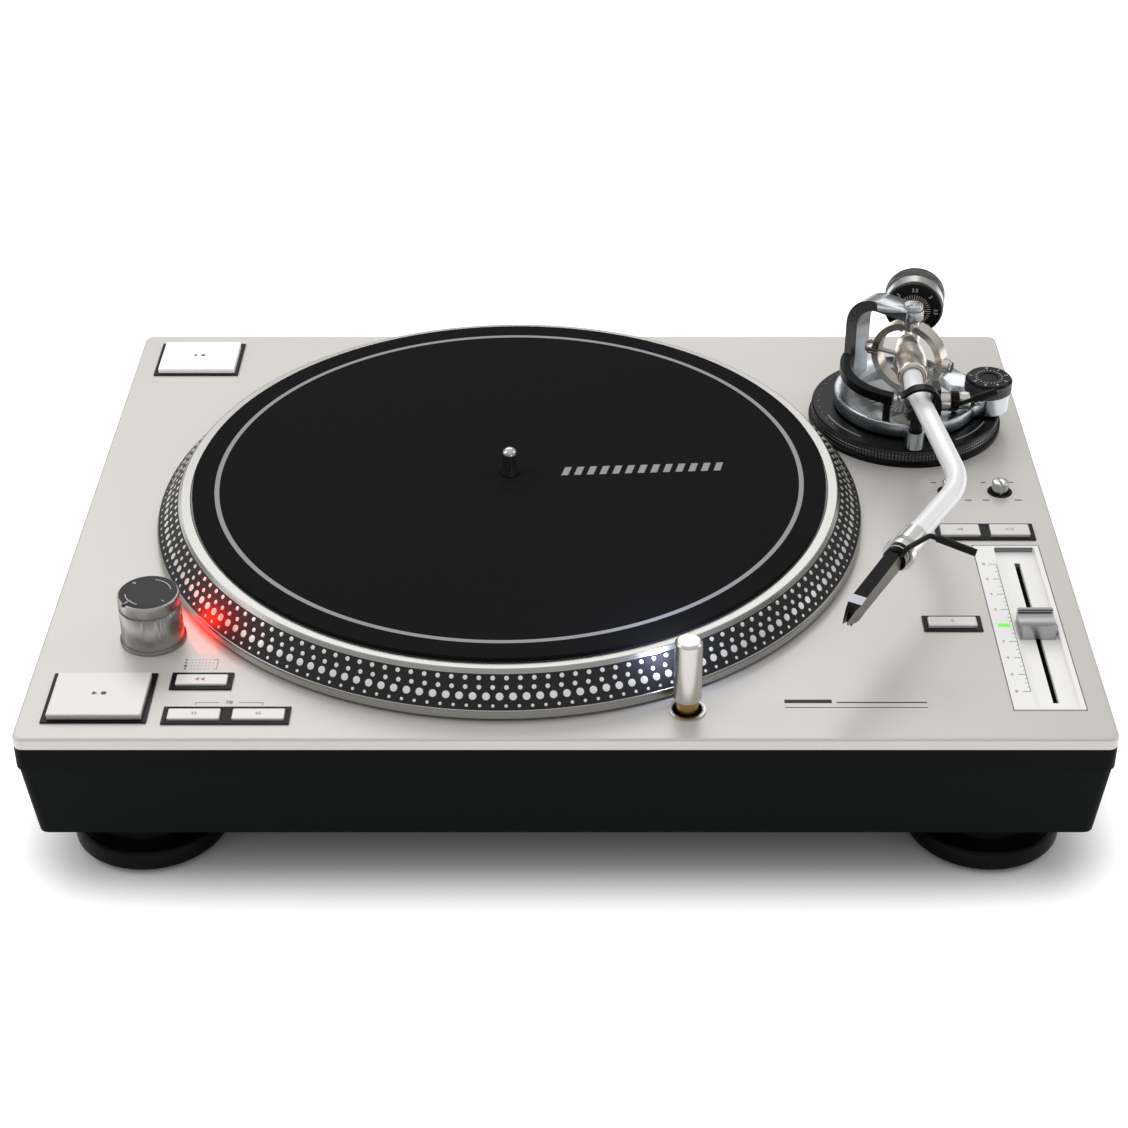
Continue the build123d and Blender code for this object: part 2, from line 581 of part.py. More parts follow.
def bearing_housing():
    """Bearing barrel with its thrust floor, on the tray that closes the motor well."""
    barrel_r = SHAFT_R + RUN + BEARING_WALL
    body = disc(barrel_r, TOP - BEARING_DEPTH, TOP - 2, PX, PY)
    tray = disc(MOTOR_R + 6, TOP - TRAY_Z - TRAY_THICK, TOP - TRAY_Z, PX, PY)
    wall = ring(MOTOR_R + 6, MOTOR_R + 1, TOP - TRAY_Z - 1, PLATE_BOTTOM, PX, PY)
    return fused([body, tray, wall]) - disc(SHAFT_R + RUN, TOP - SHAFT_DEPTH - 0.1, TOP, PX, PY)


def stator():
    """Motor board with nine drive coils in a ring."""
    inner = SHAFT_R + BEARING_WALL + RUN + 0.5
    board = ring(MOTOR_R - 1.5, inner, TOP - TRAY_Z, TOP - TRAY_Z + BOARD_THICK, PX, PY)
    coils = 9
    coil_at = (inner + MAGNET_R - MAGNET_WALL) / 2
    coil_r = 7.0
    for k in range(coils):
        a = 2 * math.pi * k / coils
        x, y = PX + coil_at * math.cos(a), PY + coil_at * math.sin(a)
        board += ring(coil_r, 2.5, TOP - TRAY_Z + BOARD_THICK - 0.2, TOP - 3.0, x, y)
    return board


HUB_R = 30.0
RIM_WALL = 5.0
PLATTER_SKIN = 3.0
HUB_LOW_H = 9.0


def platter():
    """Aluminium platter: lip, dotted cone, bright top ring, mat recess, hollow under with a hub."""
    low = PLATTER_GAP
    seat = MAT_H - MAT_THICK
    roof = seat - PLATTER_SKIN
    outline = [(0, seat), (MAT_R + 0.8, seat), (MAT_R + 0.8, RIM_H), (BAND_TOP_R - 1.0, RIM_H),
               (BAND_TOP_R, BAND_TOP_H), (PLATTER_R - 0.5, BAND_LOW_H), (PLATTER_R, BAND_LOW_H - 0.6),
               (PLATTER_R, low + 0.6), (PLATTER_R - 0.6, low), (PLATTER_R - RIM_WALL, low),
               (BAND_TOP_R - RIM_WALL, roof - 3), (BAND_TOP_R - RIM_WALL - 3, roof), (HUB_R, roof),
               (HUB_R, HUB_LOW_H), (0, HUB_LOW_H)]
    body = turned(outline, PX, PY, TOP)
    body -= disc(SHAFT_R, TOP, TOP + seat - 2, PX, PY)
    return body - disc(SPINDLE_SEAT_R, TOP, TOP + RIM_H + 2, PX, PY)


def rotor_magnet():
    """Ring magnet under the platter, round the drive coils."""
    roof = MAT_H - MAT_THICK - PLATTER_SKIN
    return ring(MAGNET_R, MAGNET_R - MAGNET_WALL, TOP - 6, TOP + roof, PX, PY)


def spindle():
    """Shaft and spindle in one, with a domed tip."""
    step = MAT_H - MAT_THICK - 2
    tip = SPINDLE_R * 0.9
    lower = disc(SHAFT_R, TOP - SHAFT_DEPTH, TOP + step, PX, PY)
    shoulder = disc(SPINDLE_SEAT_R, TOP + step - 1, TOP + MAT_H + 0.1, PX, PY)
    upper = disc(SPINDLE_R, TOP + step - 1, TOP + SPINDLE_H, PX, PY)
    upper = fillet(upper.faces().sort_by(Axis.Z)[-1].edges(), tip)
    return fused([lower, shoulder, upper])


def slipmat():
    """Felt mat in the platter's recess."""
    seat = MAT_H - MAT_THICK
    return ring(MAT_R, SPINDLE_SEAT_R + 0.3, TOP + seat, TOP + MAT_H, PX, PY)


# ================================================================ tonearm base
DIAL_BORE = COLUMN_R + 1.0


def height_dial():
    """Black knurled dial that raises and lowers the arm base."""
    outline = [(DIAL_BORE, 0.1), (DIAL_FLANGE_R, 0.1), (DIAL_FLANGE_R, 2.0), (DIAL_R, 2.6),
               (DIAL_R, DIAL_H - 0.8), (DIAL_R - 0.8, DIAL_H), (DIAL_BORE, DIAL_H)]
    return turned(outline, AX, AY, TOP)


BASE_LOW_H = DIAL_H + 0.6
WELL_R, WELL_H = 23.5, 12.5
CUP_R, CUP_LOW_H, CUP_H = 4.75, 10.0, 19.0
REST_Y = AY - 43.7
REST_X = AX - 0.6
ANTISKATE_DX, ANTISKATE_DY = 40.2, -4.7
ANTISKATE_R, ANTISKATE_LOW_H, ANTISKATE_H = 11.7, 19.6, 27.0
CUE_DY = -21.1
CUE_H = 22.7
CUE_R = 4.4
LIFTER_AT = 31.5
LIFTER_POST_YAW = 245.0
PIVOT_POST_R = 4.5
LOWER_PIN_R = 1.5
LOCK_YAW, LOCK_AT = 46.0, 28.0


def polar(radius, angle):
    """Point round the arm pivot."""
    a = math.radians(angle)
    return AX + radius * math.cos(a), AY + radius * math.sin(a)


def arm_base():
    """Silver arm base: disc, column, lower pivot post, arm-rest cup and anti-skate platform."""
    base = turned([(0, -PLATE_THICK - 12), (COLUMN_R, -PLATE_THICK - 12), (COLUMN_R, BASE_LOW_H),
                   (ARM_BASE_R - 0.8, BASE_LOW_H), (ARM_BASE_R, BASE_LOW_H + 0.8),
                   (ARM_BASE_R, ARM_BASE_H - 0.8), (ARM_BASE_R - 0.8, ARM_BASE_H), (WELL_R, ARM_BASE_H),
                   (WELL_R, WELL_H), (0, WELL_H)], AX, AY, TOP)
    pivot_top = ARM_H - GIMBAL_R - 2.0
    base += disc(PIVOT_POST_R, TOP + WELL_H - 1, TOP + pivot_top, AX, AY)
    ear = block(REST_X - CUP_R + 0.6, REST_X + CUP_R - 0.6, REST_Y, AY - ARM_BASE_R + 3,
                TOP + CUP_LOW_H + 1, TOP + CUP_H - 4)
    cup = disc(CUP_R, TOP + CUP_LOW_H, TOP + CUP_H, REST_X, REST_Y)
    sx, sy = AX + ANTISKATE_DX, AY + ANTISKATE_DY
    deck_low, deck_top = TOP + BASE_LOW_H + 0.6, TOP + ARM_BASE_H - 1.0
    deck = block(AX + 18, sx, sy - ANTISKATE_R + 1.5, sy + ANTISKATE_R + 3, deck_low, deck_top)
    plate = disc(ANTISKATE_R - 1.0, deck_low, TOP + ANTISKATE_LOW_H - SLIDE, sx, sy)
    cue_foot = block(AX + 9.5, AX + 19.0, AY + CUE_DY - 5, AY + CUE_DY + 5, TOP + ARM_BASE_H - 1.5,
                     TOP + CUE_H - CUE_R + 0.8)
    base = fused([base, ear, cup, deck, plate, cue_foot])
    base -= disc(WELL_R, TOP + WELL_H, TOP + CUE_H + 9, AX, AY) - disc(
        PIVOT_POST_R, TOP, TOP + pivot_top, AX, AY)
    base -= along(Cylinder(CUE_R, 60, align=LOW), (AX, AY + CUE_DY, TOP + CUE_H), (1, 0, 0))
    base -= disc(LOWER_PIN_R + RUN, TOP + pivot_top - 2.5, TOP + pivot_top + 1, AX, AY)
    base -= disc(REST_POST_R, TOP + CUP_LOW_H + 2, TOP + CUP_H + 1, REST_X, REST_Y)
    base -= disc(2.0 + RUN, TOP + ARM_BASE_H - 5, TOP + ANTISKATE_H, sx, sy)
    lx, ly = polar(LOCK_AT, LOCK_YAW)
    base -= disc(2.0 + RUN, TOP + ARM_BASE_H - 5, TOP + ARM_BASE_H + 1, lx, ly)
    px, py = polar(LIFTER_AT, LIFTER_POST_YAW)
    return base - disc(LIFTER_ROD_R + RUN, TOP + BASE_LOW_H - 1, TOP + ARM_BASE_H + 1, px, py)


REST_POST_R = 3.0
LIFTER_ROD_R = 2.0
LIFTER_THICK = 4.6           # upright thickness of the lifter's arc
LIFTER_WIDE = 5.0
LIFTER_TRAVEL = 4.0
LIFTER_TOP = ARM_H - TUBE_R - LIFTER_GAP
LIFTER_FROM, LIFTER_TO = 156.0, 250.0


def arc_bar(radius, wide, start, end, z0, z1):
    """Curved bar of rectangular section round the arm pivot, between two angles."""
    span = end - start
    reach = radius + wide
    steps = [start + span * k / 6 for k in range(7)]
    spread = 1 / math.cos(math.radians(span / 12))
    wedge_points = [(0, 0)] + [(reach * spread * math.cos(math.radians(a)),
                                reach * spread * math.sin(math.radians(a))) for a in steps]
    wedge = Pos(AX, AY, z0) * extrude(make_face(Polyline(*wedge_points, close=True)), z1 - z0)
    return wedge & ring(radius + wide / 2, radius - wide / 2, z0, z1, AX, AY)


def arm_lifter():
    """Curved black bar that carries the tube when the cue lever is up, on its rod."""
    bar = arc_bar(LIFTER_AT, LIFTER_WIDE, LIFTER_FROM, LIFTER_TO, TOP + LIFTER_TOP - LIFTER_THICK,
                  TOP + LIFTER_TOP)
    px, py = polar(LIFTER_AT, LIFTER_POST_YAW)
    rod_end = BASE_LOW_H + LIFTER_TRAVEL + 0.2
    return bar + disc(LIFTER_ROD_R, TOP + rod_end, TOP + LIFTER_TOP - 1, px, py)


CUE_X0, CUE_X1 = 10.5, 28.5
CUE_HUB0, CUE_HUB1 = 19.2, 22.6
CUE_AXLE_R = 1.6
CUE_HUB_R = 5.0


def cue_housing():
    """Bright horizontal barrel of the cueing unit, split where the lever's hub turns on its axle."""
    barrel = Cylinder(CUE_R, CUE_X1 - CUE_X0, align=LOW)
    barrel = chamfer(barrel.faces().sort_by(Axis.Z)[-1].edges(), 0.7)
    gap = Pos(0, 0, CUE_HUB0 - CUE_X0 - SLIDE) * Cylinder(
        CUE_R + 1, CUE_HUB1 - CUE_HUB0 + 2 * SLIDE, align=LOW)
    axle = Cylinder(CUE_AXLE_R, CUE_X1 - CUE_X0 - 1, align=LOW)
    return along(barrel - gap + axle, (AX + CUE_X0, AY + CUE_DY, TOP + CUE_H), (1, 0, 0))


def cue_lever():
    """Lever with a round hub on the cueing axle and a grip at its end."""
    y, z = AY + CUE_DY, TOP + CUE_H
    hub = Cylinder(CUE_HUB_R, CUE_HUB1 - CUE_HUB0, align=LOW) - Cylinder(CUE_AXLE_R + RUN, 20)
    hub = along(hub, (AX + CUE_HUB0, y, z), (1, 0, 0))
    start = Vector(AX + (CUE_HUB0 + CUE_HUB1) / 2, y - 3.4, z + 1.2)
    knee = Vector(AX + CUE_HUB1 - 0.4, y - 7.6, z + 2.4)
    end = Vector(AX + 39.5, y - 3.4, z + 6.4)
    reach = (end - knee).normalized()
    grip = along(Cylinder(1.9, 12.0, align=LOW), end - reach * 11, reach)
    return fused([hub, bent_rod([start, knee, end], 1.1, 1.5), grip])


def antiskate_knob():
    """Black knurled knob on its axle, over the platform's silver disc."""
    sx, sy = AX + ANTISKATE_DX, AY + ANTISKATE_DY
    outline = [(0, ANTISKATE_LOW_H), (ANTISKATE_R - 0.6, ANTISKATE_LOW_H),
               (ANTISKATE_R, ANTISKATE_LOW_H + 0.6),
               (ANTISKATE_R, ANTISKATE_H - 1.2), (ANTISKATE_R - 1.2, ANTISKATE_H),
               (4.5, ANTISKATE_H), (3.9, ANTISKATE_H - 0.6), (0, ANTISKATE_H - 0.6)]
    return turned(outline, sx, sy, TOP) + disc(2.0, TOP + ARM_BASE_H - 4.5, TOP + ANTISKATE_LOW_H + 1, sx, sy)


def lock_lever():
    """Small lever that locks the arm's height, on its axle in the base."""
    lx, ly = polar(LOCK_AT, LOCK_YAW)
    tip_x, tip_y = polar(LOCK_AT + 6.0, LOCK_YAW)
    z0, z1 = TOP + ARM_BASE_H + 0.15, TOP + ARM_BASE_H + 2.6
    hub = disc(3.4, z0, z1, lx, ly)
    arm = Pos(lx, ly, z0) * Rot(0, 0, LOCK_YAW) * Box(
        7.5, 3.2, z1 - z0, align=(Align.MIN, Align.CENTER, Align.MIN))
    end = disc(1.6, z0, z1, tip_x + 0.9 * math.cos(math.radians(LOCK_YAW)),
               tip_y + 0.9 * math.sin(math.radians(LOCK_YAW)))
    return fused([hub, arm, end, disc(2.0, TOP + ARM_BASE_H - 4.5, z0 + 0.5, lx, ly)])


REST_PLATE_X = REST_X + TUBE_R + 2.0     # inner face of the arm rest's side plate
REST_PLATE = 3.4                         # its thickness
REST_HALF = 3.5                          # half the cradle's length along the tube
CLIP_UNDER = ARM_H + TUBE_R + 5.2        # underside of the clip's hook above the plate
CLIP_R = 1.1                             # the clip's axle
CLIP_THICK = 1.8
CLIP_AXIS_H = ARM_H - 2.0
CLIP_Y = REST_Y - REST_HALF - SLIDE      # the clip's face against the side plate


def arm_rest():
    """Black arm rest: post, cradle under the tube and a side plate that carries the clip."""
    cradle_top = ARM_H - TUBE_R - LIFTER_GAP
    post = disc(REST_POST_R, TOP + CUP_LOW_H + 2, TOP + cradle_top - 2, REST_X, REST_Y)
    cradle = block(REST_X - 5.0, REST_PLATE_X + REST_PLATE, REST_Y - REST_HALF, REST_Y + REST_HALF,
                   TOP + cradle_top - 4.5, TOP + cradle_top)
    side = block(REST_PLATE_X, REST_PLATE_X + REST_PLATE, REST_Y - REST_HALF, REST_Y + 6.0,
                 TOP + cradle_top - 4.5, TOP + CLIP_UNDER - 3.0)
    bore_at = (REST_PLATE_X + REST_PLATE / 2, REST_Y - REST_HALF - 1, TOP + CLIP_AXIS_H)
    bore = along(Cylinder(CLIP_R + RUN, 7.0, align=LOW), bore_at, (0, 1, 0))
    return fused([post, cradle, side]) - bore


def arm_clip():
    """Clip that turns on the side plate: its hook passes over the tube and swings out to the right."""
    x0, x1 = REST_PLATE_X + 0.2, REST_PLATE_X + REST_PLATE
    cheek = block(x0, x1, CLIP_Y - CLIP_THICK, CLIP_Y, TOP + CLIP_AXIS_H - 2.0, TOP + CLIP_UNDER + 1.5)
    hook = block(REST_X - 5.6, x1, CLIP_Y - CLIP_THICK - 3.4, CLIP_Y,
                 TOP + CLIP_UNDER, TOP + CLIP_UNDER + 1.5)
    axle_at = (REST_PLATE_X + REST_PLATE / 2, CLIP_Y - 0.5, TOP + CLIP_AXIS_H)
    axle = along(Cylinder(CLIP_R, SLIDE + 4.6, align=LOW), axle_at, (0, 1, 0))
    return fused([cheek, hook, axle])


BRACKET_YAW = 140.0          # direction of the bracket's upright limb round the pivot
BRACKET_THICK = 12.0
SHOULDER_R = 17.0            # round of the bracket's outer shoulder
BRACKET_OUT = 34.5
BRACKET_LIMB = 6.5
BRACKET_UNDER = 57.5         # underside of the bracket's top limb above the plate
BRACKET_TOP = 62.6
BRACKET_EYE_R = 5.3
TOP_PIN_R = 1.4


def rounded_hook(corners, radii):
    """Face in the upright plane from its corners, some of them rounded."""
    face = make_face(Plane.XZ * Polyline(*corners, close=True))
    for number, radius in radii.items():
        x, z = corners[number]
        spot = [v for v in face.vertices() if abs(v.X - x) < 0.01 and abs(v.Z - z) < 0.01]
        face = fillet(spot, radius)
    return face


def pivot_bracket():
    """C-shaped bright bracket from the base, over the gimbal, to the vertical pivot screw."""
    inner = BRACKET_OUT - BRACKET_LIMB
    side = rounded_hook([(BRACKET_OUT, ARM_BASE_H), (BRACKET_OUT, BRACKET_TOP), (0, BRACKET_TOP),
                         (0, BRACKET_UNDER), (inner, BRACKET_UNDER), (inner, ARM_BASE_H)],
                        {1: SHOULDER_R, 4: SHOULDER_R - BRACKET_LIMB + 1.0})
    plate = extrude(side, BRACKET_THICK / 2, both=True)
    limb = Pos(AX, AY, TOP) * Rot(0, 0, BRACKET_YAW) * plate
    eye = disc(BRACKET_EYE_R, TOP + BRACKET_UNDER, TOP + BRACKET_TOP, AX, AY)
    screw = disc(BRACKET_EYE_R - 0.6, TOP + BRACKET_TOP - 1, TOP + SCREW_H, AX, AY)
    screw = chamfer(screw.faces().sort_by(Axis.Z)[-1].edges(), 0.5)
    screw -= Pos(AX, AY, TOP + SCREW_H) * Rot(0, 0, 35) * Box(12, 1.2, 1.6)
    pin = disc(TOP_PIN_R, TOP + ARM_H + GIMBAL_R - 2.0, TOP + BRACKET_UNDER + 1, AX, AY)
    return fused([limb, eye, screw, pin])


# ================================================================ gimbal, arm and counterweight
GIMBAL_EYE_R = 3.6
SIDE_PIN_R = 1.3
SLEEVE_R = 8.3
SLEEVE_REAR, SLEEVE_FRONT = 14.0, 21.5
FRONT_YAW = 2.0              # lean of the sleeve and the tube's rear stretch


def beside(distance):
    """Point on the level pivots' axis, which is square to the head: that far to the right of the pivot."""
    a = math.radians(HEAD_YAW)
    return Vector(AX + distance * math.cos(a), AY - distance * math.sin(a), AZ)


def sideways(sign):
    """Unit vector along the level pivots' axis."""
    return (beside(sign) - beside(0)).normalized()


def gimbal_ring():
    """Upright ring round the bearing sleeve, with bosses for its four pivots."""
    through = heading(HEAD_YAW)
    band = along(Cylinder(GIMBAL_R, GIMBAL_WIDE, align=LOW), beside(0) - through * (GIMBAL_WIDE / 2), through)
    for side in (-1, 1):
        eye_at = beside(side * (GIMBAL_R - GIMBAL_WALL))
        band += along(Cylinder(GIMBAL_EYE_R, 6.0, align=LOW), eye_at, sideways(side))
    band -= along(Cylinder(GIMBAL_R - GIMBAL_WALL, GIMBAL_WIDE + 2), beside(0), through)
    top_eye = disc(4.0, AZ + GIMBAL_R - GIMBAL_WALL, AZ + GIMBAL_R + 1.2, AX, AY)
    low_eye = disc(3.4, AZ - GIMBAL_R - 1.6, AZ - GIMBAL_R + GIMBAL_WALL, AX, AY)
    pin = disc(LOWER_PIN_R, AZ - GIMBAL_R - 4.0, AZ - GIMBAL_R, AX, AY)
    band = fused([band, top_eye, low_eye, pin])
    band -= disc(TOP_PIN_R + RUN, AZ + GIMBAL_R - 2.2, AZ + GIMBAL_R + 3, AX, AY)
    for side in (-1, 1):
        pin_at = beside(side * (GIMBAL_R - GIMBAL_WALL - 1))
        band -= along(Cylinder(SIDE_PIN_R, 12, align=LOW), pin_at, sideways(side))
    return band


def pivot_screws():
    """Two level pivot screws through the gimbal ring into the sleeve."""
    screws = []
    for side in (-1, 1):
        shank = Cylinder(SIDE_PIN_R, GIMBAL_R + 3.2 - SLEEVE_R + 2.0, align=LOW)
        head = Pos(0, 0, GIMBAL_R + 2.6 - SLEEVE_R + 2.0) * Cylinder(2.7, 1.5, align=LOW)
        head -= Pos(0, 0, GIMBAL_R + 4.1 - SLEEVE_R + 2.0) * Box(0.8, 6, 1.2)
        screws.append(along(shank + head, beside(side * (SLEEVE_R - 2.0)), sideways(side)))
    return screws


def bearing_sleeve():
    """Bulb-shaped sleeve at the pivot with the rear shaft for the counterweight."""
    front = SLEEVE_FRONT
    outline = [(0, -front), (TUBE_R + 2.0, -front), (TUBE_R + 2.7, -front + 1.0), (SLEEVE_R - 0.3, -14.0),
               (SLEEVE_R, -9.0), (SLEEVE_R - 0.3, -4.0), (SLEEVE_R - 0.9, 2.0), (SLEEVE_R - 2.0, 7.0),
               (REAR_R + 0.8, 11.5), (REAR_R + 0.6, SLEEVE_REAR), (0, SLEEVE_REAR)]
    bulb = along(turned(outline), (AX, AY, AZ), heading(FRONT_YAW))
    shaft = along(Cylinder(REAR_R, WEIGHT_AT + 31.0 - 6, align=LOW), on_arm(6, REAR_YAW), heading(REAR_YAW))
    body = bulb + shaft
    for side in (-1, 1):
        pin_at = beside(side * (SLEEVE_R - 2.6))
        body -= along(Cylinder(SIDE_PIN_R + RUN, 10, align=LOW), pin_at, sideways(side))
    tube_space = along(Cylinder(TUBE_R, 8.1, align=LOW), on_arm(-front - 0.1, FRONT_YAW), heading(FRONT_YAW))
    return body - tube_space


# Route of the tube's axis: the sleeve's mouth, the gentle knee, the main bend, the socket.
HEAD_YAW = 30.5              # heading of the tube's front stretch
HEAD_OFFSET = 49.5           # stylus behind the front of the socket, along the head's axis


def stylus_point():
    """Stylus: STYLUS_REACH from the pivot, on the arm's working line."""
    a = math.radians(STYLUS_YAW)
    return Vector(AX - STYLUS_REACH * math.sin(a), AY - STYLUS_REACH * math.cos(a), AZ)


STYLUS_YAW = 12.9            # pivot-to-stylus line's angle from the front-to-back direction


def head_point(ahead):
    """Point on the head's axis, a distance behind the stylus."""
    return stylus_point() + heading(HEAD_YAW) * ahead


SOCKET_AT = HEAD_OFFSET      # front face of the tube's socket behind the stylus
SOCKET_LONG = 24.0
KNEE_BACK = 33.4             # first knee ahead of the pivot
TUBE_WALL = 0.9


def tube_route():
    """Corner points of the tube's axis, from the sleeve's mouth to the back of the socket."""
    start = on_arm(-SLEEVE_FRONT + 8.0, FRONT_YAW)
    knee = on_arm(-KNEE_BACK, FRONT_YAW)
    a = math.radians(KNEE_YAW)
    run = Vector(math.sin(a), -math.cos(a), 0)
    end = head_point(SOCKET_AT + SOCKET_LONG - 3.0)
    back = heading(HEAD_YAW)
    delta = end - knee
    cross = run.X * back.Y - run.Y * back.X
    reach = (delta.X * back.Y - delta.Y * back.X) / cross
    return [start, knee, knee + run * reach, end]


KNEE_YAW = 7.1               # heading of the middle stretch, away from the platter


def arm_tube():
    """S-shaped tube of one bore, straight runs joined by arcs."""
    route = FilletPolyline(*tube_route(), radius=TUBE_BEND_R)
    start = route @ 0
    section = Plane(origin=start, z_dir=route % 0)
    outer = sweep(section * Circle(TUBE_R), path=route)
    inner = sweep(section * Circle(TUBE_R - TUBE_WALL), path=route)
    socket = along(Cylinder(SOCKET_R, SOCKET_LONG, align=LOW), head_point(SOCKET_AT), heading(HEAD_YAW))
    bore = along(Cylinder(PLUG_R + SLIDE, PLUG_LONG + 1.0, align=LOW), head_point(SOCKET_AT - 0.5),
                 heading(HEAD_YAW))
    return (outer - inner) + (socket - bore)


SOCKET_R = 5.2
PLUG_R, PLUG_LONG = 4.0, 12.0
COLLAR_R, COLLAR_RIM_R = 6.2, 7.25
COLLAR_LONG = 19.0


def locking_collar():
    """Turning collar round the socket with a wider front rim."""
    bore = SOCKET_R + RUN
    outline = [(bore, 0), (COLLAR_RIM_R, 0), (COLLAR_RIM_R, 3.4), (COLLAR_RIM_R - 0.5, 4.2),
               (COLLAR_R + 0.3, 6.0), (COLLAR_R, 8.0), (COLLAR_R, COLLAR_LONG - 0.6),
               (COLLAR_R - 0.6, COLLAR_LONG), (bore, COLLAR_LONG)]
    return along(turned(outline), head_point(SOCKET_AT + 0.4), heading(HEAD_YAW))


CART_W = 6.2
CART_TIP = 3.0               # tip of the fork ahead of the stylus
STYLUS_H = 26.5              # needle's point above the plate
NEEDLE_AT = -3.6             # needle behind the fork's notch


def cart_frame():
    """Frame on the head's axis: x towards the tip, y to its left, z up, origin over the stylus."""
    forward = heading(HEAD_YAW) * -1
    return Plane(origin=stylus_point(), x_dir=forward, z_dir=(0, 0, 1)).location


def side_cut(points, width):
    """Plate cut to a side outline in the head's frame, centred across it."""
    face = make_face(Plane.XZ * Polyline(*points, close=True))
    return extrude(face, width / 2, both=True)


BAND_AT = -11.0              # pale band's back edge behind the stylus
SPLIT_AT = BAND_AT           # the stylus unit pulls off here
NOSE_TAPER = 12.5            # degrees that each side of the fork draws in


CART_BACK = RUN - SOCKET_AT
CART_TOP_LINE = [(CART_BACK, 3.4), (CART_BACK + 3.5, 4.4), (SPLIT_AT, 2.0)]


def cartridge_body():
    """One-piece black cartridge with its bayonet plug."""
    back = CART_BACK
    body = side_cut([(back + 3.5, -4.0), (back, -3.4), *CART_TOP_LINE, (SPLIT_AT, -5.0)], CART_W)
    body += along(Cylinder(5.4, 3.0, align=LOW), (back + 0.15, 0, -0.2), (1, 0, 0))
    body += along(Cylinder(PLUG_R, PLUG_LONG + 0.5, align=LOW), (back - PLUG_LONG + 0.3, 0, 0), (1, 0, 0))
    return cart_frame() * body


def stylus_unit():
    """Pull-off stylus unit: pale band, forked nose, cantilever and tip."""
    drop = STYLUS_H - ARM_H
    side = [(SPLIT_AT, -5.0), (SPLIT_AT, 2.0), (-2.0, 0.4), (CART_TIP, -3.0), (CART_TIP, -4.4), (-3.0, -6.2)]
    nose = side_cut(side, CART_W)
    for s in (-1, 1):
        shave = Pos(0, s * 4, 0) * Box(20, 8, 40, align=(Align.MIN, Align.CENTER, Align.MIN))
        nose -= Pos(-6.0, s * CART_W / 2, -20) * Rot(0, 0, -s * NOSE_TAPER) * shave
    nose -= block(-0.8, CART_TIP + 1, -0.9, 0.9, -20, 5)
    cantilever = along(Cylinder(0.5, 6.6, align=LOW), (-9.0, 0, -4.5), (5.0, 0, drop + 4.5 + 0.9))
    tip = Pos(NEEDLE_AT, 0, drop) * Cone(0.05, 0.5, 1.4, align=LOW)
    return cart_frame() * fused([nose, cantilever, tip])


def finger_lift():
    """Bent rod that rises from the cartridge, passes over the collar and ends in a thicker grip."""
    points = [Vector(-44.0, 2.0, 2.4), Vector(-47.5, 5.2, 7.2),
              Vector(-61.2, 9.6, 7.4), Vector(-63.5, 30.0, 4.0)]
    last = (points[3] - points[2]).normalized()
    grip = along(Cylinder(1.7, 18.0, align=LOW), points[2] + last * 3.2, last)
    seat = side_cut([(CART_BACK, -12), *CART_TOP_LINE, (SPLIT_AT, -12)], CART_W)
    return cart_frame() * (bent_rod(points, 1.2, 1.8) + grip - seat)


BUSH_R = 6.4
BUSH_LONG = 24.0
DIAL_LONG = 2.6
RIM_AT = 9.6                 # knurled rim's front behind the dial's face
WEIGHT_LONG = 19.6


def counterweight_bush():
    """Threaded bush that the counterweight turns on; it travels along the rear shaft."""
    bush = Cylinder(BUSH_R, BUSH_LONG, align=LOW) - Cylinder(REAR_R + RUN, BUSH_LONG * 3)
    return along(bush, on_arm(WEIGHT_AT + 0.4, REAR_YAW), heading(REAR_YAW))


def counterweight():
    """Bright counterweight with a knurled rear rim."""
    bore = BUSH_R + RUN
    z0 = DIAL_LONG + 0.3
    outline = [(bore, z0), (WEIGHT_R - 1.6, z0), (WEIGHT_R - 1.6, z0 + 0.01), (WEIGHT_R - 0.3, z0 + 0.3),
               (WEIGHT_R - 0.3, RIM_AT), (WEIGHT_R, RIM_AT + 0.5), (WEIGHT_R, WEIGHT_LONG - 1.5),
               (WEIGHT_R - 1.5, WEIGHT_LONG), (bore, WEIGHT_LONG)]
    return along(turned(outline), on_arm(WEIGHT_AT, REAR_YAW), heading(REAR_YAW))


def force_dial():
    """Black numbered dial on the counterweight's front."""
    bore = BUSH_R + RUN
    outline = [(bore, 0), (9.5, 0), (WEIGHT_R - 1.2, 0.7), (WEIGHT_R - 1.0, 1.2), (WEIGHT_R - 1.0, DIAL_LONG),
               (bore, DIAL_LONG)]
    return along(turned(outline), on_arm(WEIGHT_AT, REAR_YAW), heading(REAR_YAW))


